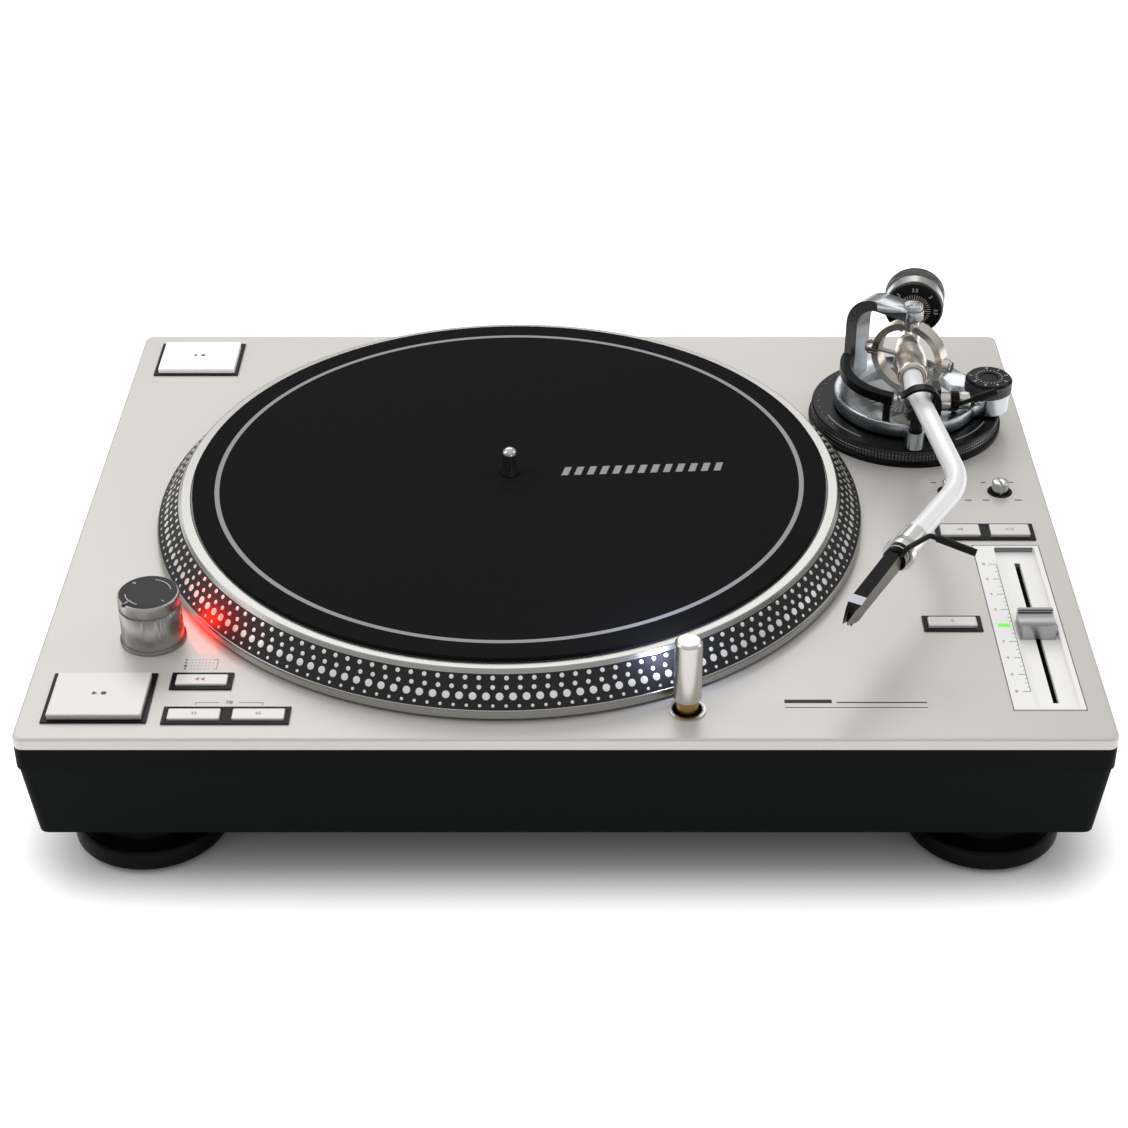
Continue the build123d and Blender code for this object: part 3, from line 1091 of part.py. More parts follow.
# ================================================================ writing the parts
PARTS = {
    "top_plate": top_plate, "upper_band": upper_band, "base_tub": base_tub, "bottom_cover": bottom_cover,
    "case_screws": case_screws, "foot_cups": foot_cups, "foot_pads": foot_pads, "rear_panel": rear_panel,
    "power_inlet": power_inlet, "signal_jacks": signal_jacks, "main_board": main_board,
    "transformer": transformer, "bearing_housing": bearing_housing, "stator": stator,
    "button_housings": button_housings, "button_switches": button_switches, "pitch_panel": pitch_panel,
    "fader_unit": fader_unit, "knob_pots": knob_pots, "strobe_housing": strobe_housing,
    "strobe_lens": strobe_lens, "target_light_sleeve": target_light_sleeve,
    "pitch_fader": pitch_fader, "power_dial": power_dial, "target_light": target_light,
    "platter": platter, "rotor_magnet": rotor_magnet, "spindle": spindle, "slipmat": slipmat,
    "height_dial": height_dial, "arm_base": arm_base, "pivot_bracket": pivot_bracket,
    "antiskate_knob": antiskate_knob, "lock_lever": lock_lever, "cue_housing": cue_housing,
    "cue_lever": cue_lever, "arm_lifter": arm_lifter, "arm_rest": arm_rest, "arm_clip": arm_clip,
    "gimbal_ring": gimbal_ring, "pivot_screws": pivot_screws, "bearing_sleeve": bearing_sleeve,
    "arm_tube": arm_tube, "locking_collar": locking_collar, "cartridge_body": cartridge_body,
    "stylus_unit": stylus_unit, "finger_lift": finger_lift, "counterweight_bush": counterweight_bush,
    "counterweight": counterweight, "force_dial": force_dial,
}


def write(name, made):
    """Write one node's solid or solids to its own file."""
    shape = Compound(children=made) if isinstance(made, list) else made
    export_step(shape, f"parts/{name}.step")
    print(name, round(shape.volume, 1))


os.makedirs("parts", exist_ok=True)
for part_name, make in PARTS.items():
    write(part_name, make())
for key_name in KEYS:
    write(key_name + "_button", button_cap(key_name))
for knob_name in KNOBS:
    write(knob_name, small_knob(knob_name))
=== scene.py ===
"""Turntable record player: finishes, fine detail and studio round its CAD frame. Metres, Z up."""

import json
import math

import bmesh
import bpy
import numpy as np
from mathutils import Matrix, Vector


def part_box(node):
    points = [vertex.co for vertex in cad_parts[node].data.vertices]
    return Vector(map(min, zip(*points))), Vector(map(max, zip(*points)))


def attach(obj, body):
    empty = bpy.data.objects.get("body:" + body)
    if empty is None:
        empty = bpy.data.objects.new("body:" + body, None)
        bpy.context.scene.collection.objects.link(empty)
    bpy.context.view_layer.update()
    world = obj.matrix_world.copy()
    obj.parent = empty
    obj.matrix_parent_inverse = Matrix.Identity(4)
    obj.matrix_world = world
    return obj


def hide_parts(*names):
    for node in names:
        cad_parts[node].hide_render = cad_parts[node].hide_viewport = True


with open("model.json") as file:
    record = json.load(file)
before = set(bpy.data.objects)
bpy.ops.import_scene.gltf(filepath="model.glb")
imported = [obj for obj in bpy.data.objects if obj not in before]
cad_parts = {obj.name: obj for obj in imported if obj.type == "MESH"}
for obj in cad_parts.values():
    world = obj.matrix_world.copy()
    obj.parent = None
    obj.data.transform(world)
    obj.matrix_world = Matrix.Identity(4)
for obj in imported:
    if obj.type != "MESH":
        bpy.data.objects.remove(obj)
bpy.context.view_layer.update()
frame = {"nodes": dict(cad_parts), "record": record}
MM = 0.001
TOP = 80.0                                  # the plate's upper face
PLATTER = (-27.5, 1.0, TOP)
PIVOT = (169.5, 87.2, 116.0)
BODY_OF = {n: body for body, names in frame["record"]["behaviour"]["bodies"].items() for n in names}


# ---------------------------------------------------------------- materials
def linear(code):
    """sRGB hex code to linear light with full alpha."""
    c = np.array([int(code[i:i + 2], 16) for i in (1, 3, 5)]) / 255
    low = c / 12.92
    high = ((c + 0.055) / 1.055) ** 2.4
    return (*[float(v) for v in np.where(c <= 0.04045, low, high)], 1.0)


def node(tree, kind, inputs=None, **settings):
    """Adds one shader node; an input that is a socket is linked, any other is set on the node itself."""
    made = tree.nodes.new(kind)
    for key, value in settings.items():
        setattr(made, key, value)
    for key, value in (inputs or {}).items():
        if isinstance(value, bpy.types.NodeSocket):
            tree.links.new(value, made.inputs[key])
        else:
            made.inputs[key].default_value = value
    return made


def material(name, code, rough, metal=0.0, **more):
    """A Principled finish; more names further inputs of the shader, with _ for a space."""
    made = bpy.data.materials.new(name)
    made.use_nodes = True
    shader = made.node_tree.nodes["Principled BSDF"]
    values = {"Base Color": linear(code), "Roughness": rough, "Metallic": metal}
    values.update({key.replace("_", " "): value for key, value in more.items()})
    for key, value in values.items():
        shader.inputs[key].default_value = value
    return made


def grain(made, size, height, rough=0.0, detail=3.0):
    """Noise of one size in mm as a bump of that height in mm, and as a spread of the roughness."""
    tree = made.node_tree
    shader = tree.nodes["Principled BSDF"]
    place = node(tree, "ShaderNodeTexCoord")
    noise = node(tree, "ShaderNodeTexNoise", {"Vector": place.outputs["Object"], "Scale": 1 / (size * MM),
                                              "Detail": detail})
    bump = node(tree, "ShaderNodeBump", {"Height": noise.outputs["Fac"], "Distance": height * MM,
                                         "Strength": 1.0})
    tree.links.new(bump.outputs["Normal"], shader.inputs["Normal"])
    if rough:
        base = shader.inputs["Roughness"].default_value
        spread = node(tree, "ShaderNodeMapRange", {"Value": noise.outputs["Fac"], "To Min": base - rough,
                                                   "To Max": base + rough})
        tree.links.new(spread.outputs["Result"], shader.inputs["Roughness"])
    return made


def turned_marks(made, centre, pitch, height):
    """Rings left by turning: noise that varies only with the distance from an upright axis."""
    tree = made.node_tree
    shader = tree.nodes["Principled BSDF"]
    place = node(tree, "ShaderNodeTexCoord")
    shift = (-centre[0] * MM, -centre[1] * MM, 0)
    off = node(tree, "ShaderNodeVectorMath", {0: place.outputs["Object"], 1: shift})
    flat = node(tree, "ShaderNodeVectorMath", {0: off.outputs[0], 1: (1, 1, 0)}, operation="MULTIPLY")
    radius = node(tree, "ShaderNodeVectorMath", {0: flat.outputs[0]}, operation="LENGTH")
    noise = node(tree, "ShaderNodeTexNoise", {"W": radius.outputs["Value"], "Scale": 1 / (pitch * MM)},
                 noise_dimensions="1D")
    bump = node(tree, "ShaderNodeBump", {"Height": noise.outputs["Fac"], "Distance": height * MM,
                                         "Strength": 1.0})
    tree.links.new(bump.outputs["Normal"], shader.inputs["Normal"])
    return made


def streaks(made, along, size, amount):
    """Brushed finish: noise stretched fifty times along one axis, as a spread of the roughness."""
    tree = made.node_tree
    shader = tree.nodes["Principled BSDF"]
    place = node(tree, "ShaderNodeTexCoord")
    scale = [1.0 if axis == along else 50.0 for axis in range(3)]
    stretched = node(tree, "ShaderNodeMapping", {"Vector": place.outputs["Object"], "Scale": scale})
    noise = node(tree, "ShaderNodeTexNoise", {"Vector": stretched.outputs[0], "Scale": 1 / (50 * size * MM)})
    base = shader.inputs["Roughness"].default_value
    spread = node(tree, "ShaderNodeMapRange", {"Value": noise.outputs["Fac"], "To Min": base - amount,
                                               "To Max": base + amount})
    tree.links.new(spread.outputs["Result"], shader.inputs["Roughness"])
    return made


# satin warm silver paint on the top plate
plate_paint = grain(material("plate_satin_silver_paint", "#c9c6c1", 0.38, 0.3), 0.5, 0.004)
# matt black pressed case
tub_black = grain(material("case_matt_black", "#07090a", 0.6, 0.0, Specular_IOR_Level=0.06), 0.6, 0.01)
band_black = grain(material("case_band_charcoal", "#0a0b0b", 0.5, 0.0, Specular_IOR_Level=0.05), 0.6, 0.006)
foot_black = material("foot_satin_black", "#08080a", 0.35, 0.0, Specular_IOR_Level=0.08)
pad_rubber = grain(material("pad_black_rubber", "#101010", 0.8), 0.8, 0.02)
# injection-moulded black, glossy and satin
gloss_black = material("gloss_black_plastic", "#050506", 0.28, 0.0, Specular_IOR_Level=0.12)
satin_black = material("satin_black_plastic", "#09090a", 0.34, 0.0, Specular_IOR_Level=0.2)
slot_black = material("slot_black", "#050505", 0.7)
# aluminium: as cast, turned, satin, polished
cast_metal = grain(material("cast_aluminium", "#8e8f8e", 0.5, 1.0), 1.5, 0.02)
ring_metal = turned_marks(material("turned_aluminium", "#a3a29f", 0.26, 1.0), PLATTER, 0.25, 0.004)
lip_metal = turned_marks(material("turned_lip_aluminium", "#a9a8a5", 0.24, 1.0), PLATTER, 0.3, 0.004)
base_metal = turned_marks(material("machined_arm_base", "#b4b9bd", 0.26, 1.0), PIVOT, 0.3, 0.004)
satin_metal = material("satin_aluminium", "#c3c1bd", 0.28, 1.0)
tower_metal = streaks(material("tower_satin_aluminium", "#a4a3a0", 0.3, 1.0), 2, 0.3, 0.08)
bright_metal = material("bright_aluminium", "#b4b4b5", 0.3, 1.0)
steel = material("bright_steel", "#b8b7b4", 0.25, 1.0)
chrome = material("chrome_plate", "#b9b9b8", 0.2, 1.0)
nickel = material("satin_nickel", "#d2cbc2", 0.24, 1.0)
brass = material("brass", "#b08d55", 0.25, 1.0)
copper = material("copper_wire", "#b5643a", 0.35, 1.0)
magnet = material("ferrite_magnet", "#3a3a3c", 0.6)
board = material("green_circuit_board", "#1f4a32", 0.5)
arm_paint = material("arm_satin_silver_paint", "#f1f1f2", 0.32, 0.1)
cap_paint = grain(material("button_pale_metal_paint", "#d8d6d3", 0.34, 0.2), 0.5, 0.003)
panel_paint = material("pitch_panel_white_paint", "#f6f5f3", 0.38)
lit_cap = material("lit_white_cap", "#f4f2ee", 0.35, Emission_Color=linear("#ffffff"), Emission_Strength=0.25)
felt = grain(material("black_wool_felt", "#141415", 0.95, 0.0, Specular_IOR_Level=0.1), 0.9, 0.25, detail=6.0)
felt_print = grain(material("pale_print_on_felt", "#96969a", 0.8), 0.9, 0.05)
cone_black = grain(material("platter_band_black_enamel", "#151516", 0.5, Specular_IOR_Level=0.3), 0.5, 0.01)
dot_metal = material("dot_bare_aluminium", "#dedcd8", 0.32, 0.5)
dark_print = material("dark_grey_print", "#4b4a49", 0.6)
black_print = material("black_print", "#161616", 0.55)
rose_print = material("rose_print", "#b0747c", 0.6)
white_print = material("white_print", "#d8d8d6", 0.6)
grey_print = material("grey_print_on_black", "#8b8c8e", 0.5)
red_glow = material("lit_red_window", "#d01a12", 0.25, Emission_Color=linear("#ff2a18"), Emission_Strength=6.0)
green_glow = material("lit_green_lamp", "#4db82c", 0.3, Emission_Color=linear("#58d62e"), Emission_Strength=0.9)
stylus_grey = material("stylus_black_plastic", "#070708", 0.35, 0.0, Specular_IOR_Level=0.1)
stylus_band = material("stylus_pale_band", "#c9cbd4", 0.35)
cart_side = material("cartridge_side_grey", "#77756f", 0.3, 0.4)
bracket_metal = material("bracket_satin_chrome", "#a3a5a8", 0.27, 1.0)
head_black = material("head_black_plastic", "#050506", 0.4, 0.0, Specular_IOR_Level=0.08)
knurl_black = material("knurled_black_aluminium", "#0e0e10", 0.22, 0.0, Specular_IOR_Level=1.0)
collar_metal = material("collar_satin_aluminium", "#e4e2de", 0.22, 1.0)
# grey painted shade for the back wall of the pitch panel's recess, which faces forwards
recess_wall_painted_shade = material("recess_wall_painted_shade_grey", "#77787a", 0.5)


# ---------------------------------------------------------------- meshes
def keep_flat(piece):
    """Large faces keep their own normals, so a rounded edge's shading doesn't spread over the flat."""
    weighted = piece.modifiers.new("keep_flat", "WEIGHTED_NORMAL")
    weighted.mode = "FACE_AREA"
    weighted.weight = 90
    weighted.keep_sharp = True


def add_piece(name, points, faces, materials, body, index=None, angle=35.0, closed=True):
    """A piece from arrays of points (mm) and corner lists: doubles joined, normals out, smooth by angle."""
    mesh = bpy.data.meshes.new(name)
    mesh.from_pydata((np.asarray(points, float) * MM).tolist(), [], [list(f) for f in faces])
    for made in materials:
        mesh.materials.append(made)
    if index is not None:
        mesh.polygons.foreach_set("material_index", np.asarray(index, np.int32))
    work = bmesh.new()
    work.from_mesh(mesh)
    bmesh.ops.remove_doubles(work, verts=work.verts, dist=2e-7)
    if closed:
        bmesh.ops.recalc_face_normals(work, faces=work.faces)
    work.to_mesh(mesh)
    work.free()
    mesh.shade_smooth()
    mesh.set_sharp_from_angle(angle=math.radians(angle))
    piece = bpy.data.objects.new(name, mesh)
    bpy.context.scene.collection.objects.link(piece)
    if closed:
        keep_flat(piece)
    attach(piece, body)
    return piece


def grid_faces(rows, columns, around=True, close=False):
    """Four-cornered faces of a grid of rows by columns: around joins the columns up, close the rows."""
    r = np.arange(rows if close else rows - 1)
    c = np.arange(columns if around else columns - 1)
    r, c = np.meshgrid(r, c, indexing="ij")
    r2, c2 = (r + 1) % rows, (c + 1) % columns
    corners = [r * columns + c, r * columns + c2, r2 * columns + c2, r2 * columns + c]
    return np.stack(corners, -1).reshape(-1, 4)


def axes(direction):
    """Two unit vectors square to a direction, the first level where that is possible."""
    d = np.asarray(direction, float) / np.linalg.norm(direction)
    side = np.array([1.0, 0, 0]) if abs(d[2]) > 0.99 else np.cross(d, [0, 0, 1.0])
    side = side - d * side.dot(d)
    side /= np.linalg.norm(side)
    return d, side, np.cross(d, side)


def lathe(outline, steps, centre, direction=(0, 0, 1), relief=None, close=True):
    """Surface of revolution: point = centre + h along the axis + (r + relief(angle, h)) outwards."""
    d, u, v = axes(direction)
    r, h = np.asarray(outline, float).T
    angle = np.linspace(0, 2 * np.pi, steps, endpoint=False)
    grow = np.zeros((len(r), steps)) if relief is None else relief(angle[None, :], h[:, None], r[:, None])
    radius = r[:, None] + grow
    out = np.cos(angle)[None, :, None] * u + np.sin(angle)[None, :, None] * v
    points = np.asarray(centre) + h[:, None, None] * d + radius[..., None] * out
    faces = grid_faces(len(r), steps, True, close)
    return points.reshape(-1, 3), faces


def knurl(radius, low, high, pitch, depth, diamond=True):
    """Relief of a knurled band: two crossed sawtooth ridges (or straight-cut squares) of one pitch."""
    teeth = round(2 * math.pi * radius / pitch)

    def relief(angle, h, r):
        inside = (h > low) & (h < high) & (np.abs(r - radius) < 0.2)
        across, up = angle * teeth / (2 * np.pi), h / pitch
        first, second = (across + up, across - up) if diamond else (across, up)
        ridge = np.minimum(np.abs((first % 1) * 2 - 1), np.abs((second % 1) * 2 - 1))
        return np.where(inside, -depth * (1 - np.minimum(1, ridge * 2.2)), 0.0)
    return relief, teeth


def band(radius, low, high, rows):
    """Rows of outline points up a knurled band."""
    return [(radius, h) for h in np.linspace(low, high, rows)]


def skin(name, *looks, angle=32.0, slot=None):
    """A CAD node's own surface with its corners joined. looks are a material, then (material, test) pairs:
    a test takes face centres (mm) and normals and gives the faces that carry its material."""
    source = frame["nodes"][name]
    mesh = source.data.copy()
    work = bmesh.new()
    work.from_mesh(mesh)
    bmesh.ops.remove_doubles(work, verts=work.verts, dist=1e-6)
    work.to_mesh(mesh)
    work.free()
    mesh.materials.clear()
    mesh.materials.append(looks[0])
    index = np.zeros(len(mesh.polygons), np.int32)
    centres = np.zeros(len(mesh.polygons) * 3)
    normals = np.zeros(len(mesh.polygons) * 3)
    mesh.polygons.foreach_get("center", centres)
    mesh.polygons.foreach_get("normal", normals)
    for number, (made, test) in enumerate(looks[1:], 1):
        mesh.materials.append(made)
        index[test(centres.reshape(-1, 3) / MM, normals.reshape(-1, 3))] = number
    mesh.polygons.foreach_set("material_index", index)
    mesh.shade_smooth()
    mesh.set_sharp_from_angle(angle=math.radians(angle))
    piece = bpy.data.objects.new(name + "_skin", mesh)
    bpy.context.scene.collection.objects.link(piece)
    keep_flat(piece)
    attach(piece, BODY_OF[name])
    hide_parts(name)
    return piece


# flat marks are lists of (points, faces) in a drawing plane, in mm
THICK = 0.05                                # a paint film
LIFT = 0.02                                 # air under it
CAPITAL = 0.7                               # height of a numeral as a share of the letter size


def bar(x0, x1, y0, y1):
    """Printed rectangle, with a paint film's thickness."""
    points = [(x, y, z) for z in (0, THICK) for x, y in ((x0, y0), (x1, y0), (x1, y1), (x0, y1))]
    faces = [(3, 2, 1, 0), (4, 5, 6, 7), (0, 1, 5, 4), (1, 2, 6, 5), (2, 3, 7, 6), (3, 0, 4, 7)]
    return [(np.array(points, float), faces)]


def outline_box(x0, x1, y0, y1, wide):
    """Four bars round a rectangle."""
    return (bar(x0, x1, y0, y0 + wide) + bar(x0, x1, y1 - wide, y1)
            + bar(x0, x0 + wide, y0 + wide, y1 - wide) + bar(x1 - wide, x1, y0 + wide, y1 - wide))


def shape(corners):
    """Printed convex shape from its corners, anticlockwise."""
    n = len(corners)
    points = [(x, y, z) for z in (0, THICK) for x, y in corners]
    sides = [(i, (i + 1) % n, n + (i + 1) % n, n + i) for i in range(n)]
    return [(np.array(points, float), [tuple(range(n))[::-1], tuple(range(n, 2 * n))] + sides)]


def round_dot(x, y, r):
    """Printed dot."""
    turn = np.linspace(0, 2 * math.pi, 12, endpoint=False)
    return shape([(x + r * math.cos(a), y + r * math.sin(a)) for a in turn])


def arc_line(cx, cy, r, wide, start, end, steps=96):
    """Printed arc from start to end in degrees: a strip between two radii, thick as paint."""
    a = np.radians(np.linspace(start, end, steps))
    section = ((r - wide / 2, 0), (r + wide / 2, 0), (r + wide / 2, THICK), (r - wide / 2, THICK))
    rows = [np.stack([cx + radius * np.cos(a), cy + radius * np.sin(a), np.full(steps, z)], 1)
            for radius, z in section]
    faces = [tuple(f) for f in grid_faces(4, steps, abs(end - start) >= 360, True)]
    if abs(end - start) < 360:
        faces += [(0, steps, 2 * steps, 3 * steps), tuple(steps * (k + 1) - 1 for k in (3, 2, 1, 0))]
    return [(np.concatenate(rows), faces)]


def glyphs(text, high, x=0.0, y=0.0, turn=0.0):
    """Numerals or signs centred on a point, turned by degrees, with their height in mm."""
    curve = bpy.data.curves.new("glyphs", "FONT")
    curve.body = text
    curve.align_x = "CENTER"
    curve.align_y = "CENTER"
    curve.size = high / CAPITAL
    curve.resolution_u = 3
    holder = bpy.data.objects.new("glyphs", curve)
    bpy.context.scene.collection.objects.link(holder)
    bpy.context.view_layer.update()
    mesh = bpy.data.meshes.new_from_object(holder)
    points = np.zeros(len(mesh.vertices) * 3)
    mesh.vertices.foreach_get("co", points)
    points = points.reshape(-1, 3)
    faces = [tuple(p.vertices) for p in mesh.polygons]
    bpy.data.objects.remove(holder)
    bpy.data.curves.remove(curve)
    bpy.data.meshes.remove(mesh)
    a = math.radians(turn)
    across = points[:, 0] * math.cos(a) - points[:, 1] * math.sin(a) + x
    up = points[:, 0] * math.sin(a) + points[:, 1] * math.cos(a) + y
    return [(np.stack([across, up, np.full(len(across), THICK)], 1), faces)]


def printed(name, marks, body, made, origin=(0, 0, TOP), right=(1, 0, 0), up=(0, 1, 0)):
    """Joins marks into one piece that lies in the plane of right and up, just off the surface."""
    right, up = np.asarray(right, float), np.asarray(up, float)
    normal = np.cross(right, up)
    points, faces, count = [], [], 0
    for local, corners in marks:
        points.append(np.asarray(origin) + local[:, :1] * right + local[:, 1:2] * up
                      + (local[:, 2:] + LIFT) * normal)
        faces += [tuple(int(i) + count for i in f) for f in corners]
        count += len(local)
    return add_piece(name, np.concatenate(points), faces, [made], body, closed=False)


# ---------------------------------------------------------------- case
skin("top_plate", plate_paint, angle=6.0)
skin("upper_band", band_black)
skin("base_tub", tub_black)
skin("bottom_cover", tub_black)
skin("rear_panel", satin_black)
skin("case_screws", steel)
skin("foot_cups", foot_black)
skin("foot_pads", pad_rubber)
skin("power_inlet", satin_black)
skin("signal_jacks", brass)
skin("button_housings", gloss_black)
# the recess's forward-facing back wall takes the grey painted shade
skin("pitch_panel", panel_paint, (recess_wall_painted_shade, lambda c, n: (n[:, 1] < -0.9) & (c[:, 1] > -60)), angle=6.0)
skin("knob_pots", slot_black)
skin("target_light_sleeve", steel)
skin("fader_unit", slot_black)
INSIDE = {"main_board": board, "transformer": steel, "bearing_housing": cast_metal, "stator": copper,
          "button_switches": board, "rotor_magnet": magnet, "counterweight_bush": brass}
for inner, made in INSIDE.items():
    frame["nodes"][inner].data.materials.clear()
    frame["nodes"][inner].data.materials.append(made)

# ---------------------------------------------------------------- buttons and their signs
KEYS = {
    "start_stop_front": (-196.7, -148.9), "start_stop_rear": (-196.3, 149.6),
    "reverse": (-155.3, -137.0), "speed_33": (-155.3, -161.1), "speed_45": (-128.3, -161.1),
    "range_narrow": (183.6, -19.4), "range_wide": (206.9, -19.4), "reset": (170.2, -94.3),
}
for key in KEYS:
    skin(key + "_button", lit_cap if key == "start_stop_rear" else cap_paint)


def play_stop(size):
    """Triangle and square, the usual sign for start and stop."""
    s = size / 2
    return shape([(-2.4 * s, -s), (-0.6 * s, 0), (-2.4 * s, s)]) + bar(0.7 * s, 2.4 * s, -0.85 * s, 0.85 * s)


SIGNS = {
    "start_stop_front": play_stop(2.4), "start_stop_rear": play_stop(2.4),
    "reverse": shape([(-3.0, 0), (-1.2, -1.1), (-1.2, 1.1)]) + shape([(-0.6, 0), (1.2, -1.1), (1.2, 1.1)]),
    "speed_33": glyphs("33", 1.9), "speed_45": glyphs("45", 1.9),
    "range_narrow": glyphs("±8", 1.9), "range_wide": glyphs("±16", 1.9),
    "reset": glyphs("0", 2.0),
}
for key, marks in SIGNS.items():
    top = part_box(key + "_button")[1][2] / MM
    made = dark_print if key.startswith("start_stop") else rose_print
    printed(key + "_sign", marks, key + "_key", made, (*KEYS[key], top))

legend = bar(-156.0, -146.0, -151.8, -151.55) + bar(-137.6, -127.4, -151.8, -151.55)
legend += bar(-156.0, -155.75, -153.3, -151.55) + bar(-127.65, -127.4, -153.3, -151.55)
legend += glyphs("78", 2.2, -141.8, -151.6)
printed("speed_legend", legend, "plinth", dark_print)

# dotted legend of the strobe rows, by the tower
strobe = []
for row, count in enumerate((7, 7, 6, 6)):
    y = -121.0 - 2.2 * row
    strobe += round_dot(-164.0, y, 0.75 if row == 2 else 0.5)
    strobe += [m for k in range(count) for m in round_dot(-161.4 + 1.5 * k, y, 0.22)]
strobe += bar(-150.5, -150.3, -127.9, -120.7) + bar(-152.0, -150.3, -127.9, -127.7)
strobe += bar(-152.0, -150.3, -120.9, -120.7)
printed("strobe_legend", strobe, "plinth", dark_print)

# plain ornament near the front edge: one thick and one thin rule
printed("front_rule", bar(92.0, 112.0, -152.0, -149.6) + bar(114.0, 152.0, -151.9, -151.2)
        + bar(92.0, 152.0, -155.2, -154.8), "plinth", black_print)

# ---------------------------------------------------------------- pitch panel and fader
PANEL_X0, PANEL_X1, PANEL_Y0, PANEL_Y1 = 187.6, 218.7, -157.2, -30.6
RECESS_X0 = 197.5
ZERO_Y, STEP = -95.3, 12.2
panel_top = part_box("pitch_panel")[1][2] / MM
scale_marks = bar(RECESS_X0 - 0.75, RECESS_X0 - 0.5, ZERO_Y - 4 * STEP, ZERO_Y + 4 * STEP)
numbers = []
for k in range(-16, 17):
    y = ZERO_Y + k * STEP / 4
    if k == 0:
        continue
    long = 3.6 if k % 4 == 0 else (1.6 if k % 2 == 0 else 1.0)
    scale_marks += bar(RECESS_X0 - 0.6 - long, RECESS_X0 - 0.6, y - (0.14 if k % 4 == 0 else 0.08), y + 0.12)
    if k % 4 == 0:
        numbers += glyphs(str(abs(k) // 2), 1.7, RECESS_X0 - 6.6, y)
printed("pitch_scale", scale_marks + numbers, "plinth", dark_print, (0, 0, panel_top))
printed("panel_outline", outline_box(PANEL_X0, PANEL_X1, PANEL_Y0, PANEL_Y1, 0.35), "plinth", dark_print,
        (0, 0, panel_top))
lamp = [(p * (1, 1, 6), f) for p, f in bar(190.3, 195.6, ZERO_Y - 1.0, ZERO_Y + 1.0)]
printed("zero_lamp", lamp, "plinth", green_glow, (0, 0, panel_top))
fader_lo, fader_hi = [np.array(c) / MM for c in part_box("pitch_fader")]
skin("pitch_fader", bright_metal)
line = bar(fader_lo[0] + 0.4, fader_hi[0] - 0.4, fader_hi[1] - 2.6, fader_hi[1] - 1.7)
line = [(p * (1, 1, 4), f) for p, f in line]
printed("fader_line", line, "fader", black_print, (0, 0, fader_hi[2] - 0.14))

# ---------------------------------------------------------------- small knobs
for knob in ("level_knob_left", "level_knob_right"):
    skin(knob, chrome)
knob_marks = []
for x, y in ((183.8, 17.2), (207.8, 17.2)):
    for a in np.radians(np.arange(-135, 136, 27)):
        knob_marks += round_dot(x + 7.4 * math.sin(a), y + 7.4 * math.cos(a), 0.2)
    knob_marks += bar(x - 9.4, x - 6.0, y - 8.2, y - 7.4) + bar(x + 6.0, x + 9.4, y - 8.2, y - 7.4)
    knob_marks += bar(x - 8.0, x - 5.4, y + 8.0, y + 8.7) + bar(x + 5.4, x + 8.0, y + 8.0, y + 8.7)
printed("knob_legends", knob_marks, "plinth", dark_print)

# ---------------------------------------------------------------- power tower
TOWER = (-181.0, -104.3)
skin("strobe_housing", tower_metal, slot="bright_metal")
skin("strobe_lens", red_glow)
tower_top = 104.0
skin("power_dial", tower_metal, (satin_black, lambda c, n: (c[:, 2] > tower_top - 3) & (
    np.hypot(c[:, 0] - TOWER[0], c[:, 1] - TOWER[1]) < 12.6) & (n[:, 2] > 0.9)), slot="bright_metal")
dial_marks = arc_line(0, 0, 9.8, 0.3, 15, 80, 24) + arc_line(0, 0, 9.8, 0.3, 190, 250, 24)
dial_marks += glyphs("0", 1.7, -7.0, 7.0, 45) + glyphs("1", 1.7, 7.4, -6.6, 225 - 180)
printed("power_marks", dial_marks, "power_switch", white_print, (*TOWER, tower_top))

# ---------------------------------------------------------------- target light
skin("target_light", satin_metal, (brass, lambda c, n: (c[:, 2] < TOP + 7.2)))

# ---------------------------------------------------------------- platter
ring_z, cone_z0, cone_z1 = 18.5, 5.0, 17.0
platter_outline = [
    (4.6, 18.1), (149.3, 18.1), (149.3, ring_z - 0.25), (149.55, ring_z), (153.6, ring_z),
    (154.0, ring_z - 0.1),
    (155.0, cone_z1 + 0.1), (155.2, cone_z1 - 0.25), (165.2, cone_z0 + 0.2), (165.3, cone_z0 + 0.35),
    (165.6, cone_z0 + 0.2), (166.0, cone_z0 - 0.6), (166.0, 1.6), (165.4, 1.0), (161.0, 1.0), (150.0, 12.1),
    (147.0, 15.1), (30.0, 15.1), (30.0, 9.0), (4.6, 9.0)]
region = [3, 3, 2, 2, 2, 2, 2, 1, 0, 0, 0, 0, 0, 3, 3, 3, 3, 3, 3, 3]
points, faces = lathe(platter_outline, 360, PLATTER)
platter_looks = [lip_metal, cone_black, ring_metal, cast_metal]
platter = add_piece("platter_turned", points, faces, platter_looks, "platter",
                    np.repeat(region, 360), angle=14)
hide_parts("platter")

slope = math.atan2(cone_z1 - cone_z0, 165.2 - 155.2)


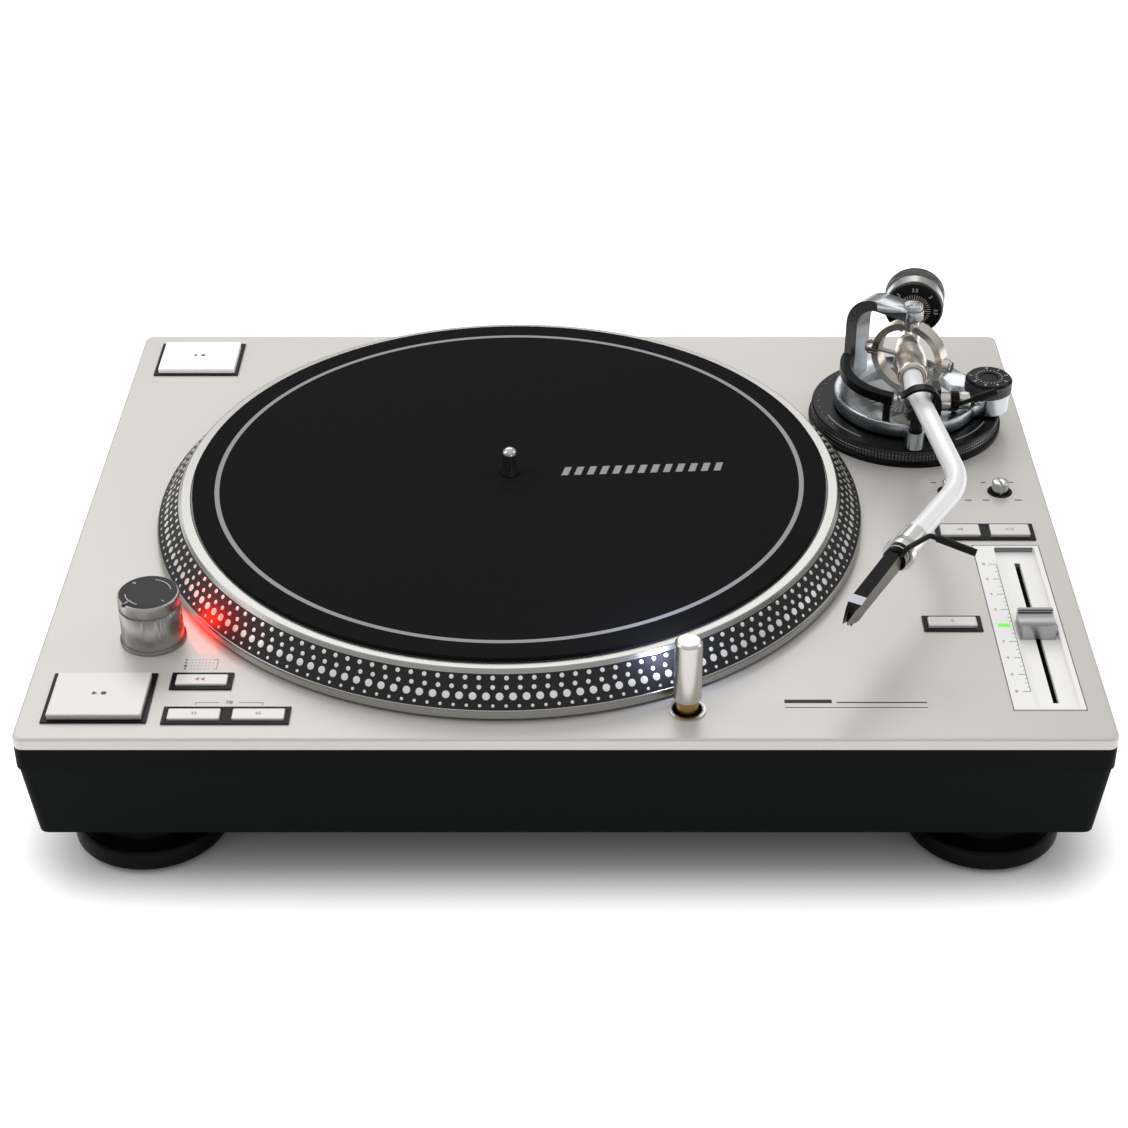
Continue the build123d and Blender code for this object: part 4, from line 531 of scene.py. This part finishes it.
def cone_dots(radius, count, size, phase=0.0):
    """Low domes standing on the cone: each is a disc of two rings and a centre, lifted by a parabola."""
    around = np.linspace(0, 2 * np.pi, 10, endpoint=False)
    rings = [(1.0, -0.2), (0.94, 0.06), (0.6, 0.1)]
    local = [(s * size * math.cos(a), s * size * math.sin(a), h) for s, h in rings for a in around]
    local = np.array(local + [(0, 0, 0.11)])
    turn = np.linspace(0, 2 * np.pi, count, endpoint=False) + phase
    out = np.stack([np.cos(turn), np.sin(turn), np.zeros(count)], 1)
    side = np.stack([-np.sin(turn), np.cos(turn), np.zeros(count)], 1)
    down = math.cos(slope) * out - math.sin(slope) * np.array([0, 0, 1.0])
    normal = math.sin(slope) * out + math.cos(slope) * np.array([0, 0, 1.0])
    height = cone_z0 + (165.2 - radius) * math.tan(slope)
    centre = np.array(PLATTER) + radius * out + np.array([0, 0, height])
    points = (centre[:, None] + local[None, :, :1] * side[:, None] - local[None, :, 1:2] * down[:, None]
              + local[None, :, 2:] * normal[:, None])
    base = np.arange(count) * len(local)
    ring_faces = grid_faces(3, 10)
    quads = (ring_faces[None] + base[:, None, None]).reshape(-1, 4)
    k = np.arange(10)
    cap = np.stack([20 + k, 20 + (k + 1) % 10, np.full(10, 30)], 1)
    caps = (cap[None] + base[:, None, None]).reshape(-1, 3)
    return points.reshape(-1, 3), quads.tolist() + caps.tolist()


for name, radius, count, size in (("dots_a", 156.4, 170, 1.05), ("dots_b", 158.9, 174, 1.05),
                                  ("dots_c", 161.3, 180, 1.75), ("dots_d", 163.9, 186, 1.0)):
    points, faces = cone_dots(radius, count, size)
    add_piece("platter_" + name, points, faces, [dot_metal], "platter", closed=False,
              angle=40)

skin("spindle", chrome, (felt, lambda c, n: np.hypot(c[:, 0] - PLATTER[0], c[:, 1] - PLATTER[1]) > 3.7))
skin("slipmat", felt)
mat_top = TOP + 20.3
mat_centre = (*PLATTER[:2], mat_top)
printed("mat_ring", arc_line(0, 0, 137.0, 2.2, 0, 360, 360), "mat", felt_print, mat_centre)
badge = []
for k in range(13):
    x = 24.0 + 6.0 * k
    badge += shape([(x, -3.6), (x + 3.2, -3.6), (x + 5.4, 3.6), (x + 2.2, 3.6)])
printed("mat_ornament", badge, "mat", felt_print, mat_centre, (0.998, 0.06, 0), (-0.06, 0.998, 0))

# ---------------------------------------------------------------- tonearm base
relief, teeth = knurl(47.0, 2.9, 7.9, 1.7, 0.5, diamond=False)
outline = ([(27.0, 0.1), (48.2, 0.1), (48.2, 2.0), (47.0, 2.6), (47.0, 2.9)] + band(47.0, 3.0, 7.8, 22)
           + [(47.0, 7.9), (47.0, 8.2), (46.2, 9.0), (27.0, 9.0)])
points, faces = lathe(outline, teeth * 6, (PIVOT[0], PIVOT[1], TOP), relief=relief)
dial = add_piece("height_dial_knurled", points, faces, [knurl_black, gloss_black], "height_ring",
                 np.repeat([0 if 3 < i < 28 else 1 for i in range(len(outline))], teeth * 6), angle=18)
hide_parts("height_dial")
lines = arc_line(0, 0, 41.5, 0.7, 196, 232) + arc_line(0, 0, 41.5, 0.7, 300, 334)
for k in range(12):
    a = math.radians(120 + 8 * k)
    mid = np.array([math.cos(a), math.sin(a)]) * 43.6
    lines += round_dot(mid[0], mid[1], 0.35)
printed("height_dial_marks", lines, "height_ring", grey_print, (*PIVOT[:2], TOP + 9.0))

skin("arm_base", base_metal)
skin("pivot_bracket", bracket_metal)
skin("cue_housing", satin_metal)
skin("arm_rest", satin_black)
skin("lock_lever", steel)
skin("cue_lever", gloss_black)
skin("arm_lifter", gloss_black)

# the clip: a strap whose middle line runs up the cheek, over the tube and out to a turned-up end;
# each row is across and up from the tube's centre, and the strap's thickness there
STRAP = [(8.65, -3.8, 3.0), (8.65, 1.5, 3.0), (8.4, 4.6, 2.6), (7.0, 7.6, 1.9), (4.0, 9.6, 1.5),
         (0.4, 10.1, 1.4), (-2.8, 9.7, 1.4), (-5.4, 8.2, 1.3), (-7.2, 6.6, 1.2), (-8.6, 5.8, 1.1),
         (-9.8, 5.9, 0.9)]
CLIP_AT, CLIP_Y0, CLIP_Y1 = (168.9, TOP + 36.0), 34.6, 39.8


def strap():
    """Solid strip: middle line + or - half the thickness along its own normal, between two planes."""
    rows = np.array(STRAP)
    steps = np.linspace(0, len(rows) - 1, 41)
    x, z, thick = [np.interp(steps, range(len(rows)), rows[:, k]) for k in range(3)]
    for _ in range(3):
        x[1:-1], z[1:-1] = (x[:-2] + 2 * x[1:-1] + x[2:]) / 4, (z[:-2] + 2 * z[1:-1] + z[2:]) / 4
    dx, dz = np.gradient(x), np.gradient(z)
    nx, nz = -dz / np.hypot(dx, dz), dx / np.hypot(dx, dz)
    ring = []
    for sign, y in ((-1, CLIP_Y0), (1, CLIP_Y0), (1, CLIP_Y1), (-1, CLIP_Y1)):
        ring.append(np.stack([CLIP_AT[0] + x + sign * nx * thick / 2, np.full(len(x), y),
                              CLIP_AT[1] + z + sign * nz * thick / 2], 1))
    count = len(x)
    faces = [tuple(f) for f in grid_faces(4, count, False, True)]
    faces += [(0, count, 2 * count, 3 * count), tuple(count * k - 1 for k in (4, 3, 2, 1))]
    return np.concatenate(ring), faces


points, faces = strap()
clip = add_piece("clip_strap", points, faces, [gloss_black], BODY_OF["arm_clip"])
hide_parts("arm_clip")

KNOB = (209.7, 82.5)
relief, teeth = knurl(11.7, 20.4, 25.6, 1.3, 0.3)
outline = ([(0, 19.6), (11.1, 19.6), (11.7, 20.2)] + band(11.7, 20.4, 25.6, 16)
           + [(11.7, 25.8), (10.5, 27.0), (4.5, 27.0), (3.9, 26.4), (0, 26.4)])
points, faces = lathe(outline, teeth * 6, (*KNOB, TOP), relief=relief, close=False)
dial = add_piece("antiskate_knob_knurled", points, faces, [knurl_black, gloss_black], "antiskate",
                 np.repeat([0 if 2 <= i < 19 else 1 for i in range(len(outline) - 1)], teeth * 6), angle=18)
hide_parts("antiskate_knob")
marks = []
for k in range(24):
    a = math.radians(k * 15)
    c, s = math.cos(a), math.sin(a)
    marks += shape([(6.0 * c + 0.12 * s, 6.0 * s - 0.12 * c), (7.0 * c + 0.12 * s, 7.0 * s - 0.12 * c),
                    (7.0 * c - 0.12 * s, 7.0 * s + 0.12 * c), (6.0 * c - 0.12 * s, 6.0 * s + 0.12 * c)])
for k in range(8):
    a = math.radians(90 - k * 40)
    marks += glyphs(str(k), 1.9, 8.7 * math.cos(a), 8.7 * math.sin(a), math.degrees(a) - 90)
printed("antiskate_marks", marks, "antiskate", white_print, (*KNOB, TOP + 27.0))

# ---------------------------------------------------------------- tonearm
skin("gimbal_ring", nickel)
skin("pivot_screws", steel)
skin("bearing_sleeve", nickel)
skin("arm_tube", arm_paint)
skin("locking_collar", collar_metal)
head_yaw = math.radians(30.5)
ahead = np.array([-math.sin(head_yaw), -math.cos(head_yaw), 0.0])
beside = np.array([math.cos(head_yaw), -math.sin(head_yaw), 0.0])
skin("cartridge_body", head_black, (cart_side, lambda c, n: np.abs(n @ beside) > 0.8))
skin("finger_lift", satin_black)
STYLUS = np.array([118.15, -137.0])


def along_head(c):
    """Distance towards the tip from the stylus, in mm."""
    return (c[:, :2] - STYLUS) @ ahead[:2]


skin("stylus_unit", stylus_grey, (stylus_band, lambda c, n: (along_head(c) < -6.6) & (n[:, 2] > 0.3)),
     (cart_side, lambda c, n: np.abs(n @ beside) > 0.8))

# ---------------------------------------------------------------- counterweight
rear_yaw = math.radians(9.2)
REAR = np.array([math.sin(rear_yaw), math.cos(rear_yaw), 0.0])
weight_at = np.array(PIVOT) + REAR * 50.5
relief, teeth = knurl(15.5, 10.2, 17.9, 1.25, 0.35)
outline = ([(6.45, 2.9), (13.9, 2.9), (15.2, 3.2), (15.2, 9.6), (15.5, 10.1)] + band(15.5, 10.25, 17.85, 26)
           + [(15.5, 18.1), (14.0, 19.6), (6.45, 19.6)])
points, faces = lathe(outline, teeth * 6, weight_at, REAR, relief)
weight = add_piece("counterweight_knurled", points, faces, [satin_metal, knurl_black], "weight",
                   np.repeat([0 if i < 3 else 1 for i in range(len(outline))], teeth * 6), angle=18)
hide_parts("counterweight")
skin("force_dial", satin_black)
marks = []
for k in range(40):
    a = math.radians(k * 9)
    c, s = math.cos(a), math.sin(a)
    near, far = (5.9, 8.9) if k % 5 == 0 else (6.9, 8.7)
    marks += shape([(near * c + 0.1 * s, near * s - 0.1 * c), (far * c + 0.1 * s, far * s - 0.1 * c),
                    (far * c - 0.1 * s, far * s + 0.1 * c), (near * c - 0.1 * s, near * s + 0.1 * c)])
for k, text in enumerate(("2.5", "2", "1.5", "1", "0.5", "0", "3.5", "3")):
    a = math.radians(90 + k * 45)
    marks += glyphs(text, 1.9, 11.4 * math.cos(a), 11.4 * math.sin(a), math.degrees(a) - 90)
side = np.cross(-REAR, (0, 0, 1.0))
printed("force_dial_marks", marks, "force_ring", white_print, weight_at, -side, (0, 0, 1))

# ---------------------------------------------------------------- studio
floor_mesh = bpy.data.meshes.new("floor")
SIZE = 6.0
corners = [(-SIZE, -SIZE, 0), (SIZE, -SIZE, 0), (SIZE, SIZE, 0), (-SIZE, SIZE, 0)]
floor_mesh.from_pydata(corners, [], [(0, 1, 2, 3)])
# white table with a painted contact shadow: its glow is darkened under the case by a pattern on the table's own
# coordinates, not by the lamps, and is full beyond the case's foot at the outer of the two distances (metres)
CASE_HALF, PAINTED_SHADOW_FULL, PAINTED_SHADOW_END = (0.205, 0.15, 0.0), 0.012, 0.05
table = material("white_table_painted_shadow", "#f2f2f2", 0.6, 0.0, Emission_Color=linear("#ffffff"))
tree = table.node_tree
place = node(tree, "ShaderNodeTexCoord")
folded = node(tree, "ShaderNodeVectorMath", {0: place.outputs["Object"]}, operation="ABSOLUTE")
beyond = node(tree, "ShaderNodeVectorMath", {0: folded.outputs[0], 1: CASE_HALF}, operation="SUBTRACT")
outside = node(tree, "ShaderNodeVectorMath", {0: beyond.outputs[0], 1: (0, 0, 0)}, operation="MAXIMUM")
distance = node(tree, "ShaderNodeVectorMath", {0: outside.outputs[0]}, operation="LENGTH")
# painted shadow: the glow falls to nothing near the case's outline, by distance alone
glow = node(tree, "ShaderNodeMapRange", {"Value": distance.outputs["Value"], "From Min": PAINTED_SHADOW_FULL,
                                         "From Max": PAINTED_SHADOW_END, "To Min": 0.0, "To Max": 0.62},
            interpolation_type="SMOOTHSTEP")
tree.links.new(glow.outputs["Result"], tree.nodes["Principled BSDF"].inputs["Emission Strength"])
floor_mesh.materials.append(table)
floor = bpy.data.objects.new("floor", floor_mesh)
bpy.context.scene.collection.objects.link(floor)


def lamp_at(name, place, target, size, power, colour="#ffffff"):
    """A soft rectangular lamp aimed at a point; sizes in metres, power in watts."""
    light = bpy.data.lights.new(name, "AREA")
    light.shape = "RECTANGLE"
    light.size, light.size_y = size
    light.energy = power
    light.color = linear(colour)[:3]
    holder = bpy.data.objects.new(name, light)
    bpy.context.scene.collection.objects.link(holder)
    holder.location = place
    holder.rotation_euler = (Vector(target) - Vector(place)).to_track_quat("-Z", "Y").to_euler()
    return holder


lamp_at("softbox_back", (-0.3, 1.5, 1.3), (0, 0, 0.08), (1.8, 0.7), 8)
lamp_at("softbox_left", (-1.5, 0.1, 1.0), (-0.1, 0.1, 0.08), (0.8, 1.4), 6)
lamp_at("softbox_right", (1.6, 0.3, 0.9), (0.1, -0.05, 0.08), (0.5, 0.8), 3.5)
lamp_at("strobe_glow", (-0.1665, -0.098, 0.0905), (-0.150, -0.090, 0.086), (0.005, 0.004), 0.016, "#ff1a10")
lamp_at("target_glow", (0.0508, -0.1505, 0.111), (0.03, -0.10, 0.1), (0.003, 0.003), 0.02, "#c8d4ff")

world = bpy.data.worlds.new("studio_air")
world.use_nodes = True
bpy.context.scene.world = world
sky = world.node_tree.nodes["Background"]
sky.inputs["Strength"].default_value = 0.86
direction = node(world.node_tree, "ShaderNodeTexCoord")
upward = node(world.node_tree, "ShaderNodeSeparateXYZ", {0: direction.outputs["Generated"]})
height = node(world.node_tree, "ShaderNodeMapRange", {"Value": upward.outputs["Z"], "From Min": 0.05,
                                                      "From Max": 0.75, "To Min": 0.25, "To Max": 1.0})
world.node_tree.links.new(height.outputs["Result"], sky.inputs["Color"])
bpy.context.scene.view_settings.view_transform = "Standard"

camera_data = bpy.data.cameras.new("camera")
camera_data.sensor_width = 36.0
camera_data.lens = 73.24
camera_data.shift_x = -0.0212
camera_data.dof.use_dof = False
camera = bpy.data.objects.new("camera", camera_data)
bpy.context.scene.collection.objects.link(camera)
camera.location = (0.00923, -0.9246, 0.66264)
camera.rotation_euler = (math.radians(56.449), 0, 0)
bpy.context.scene.camera = camera
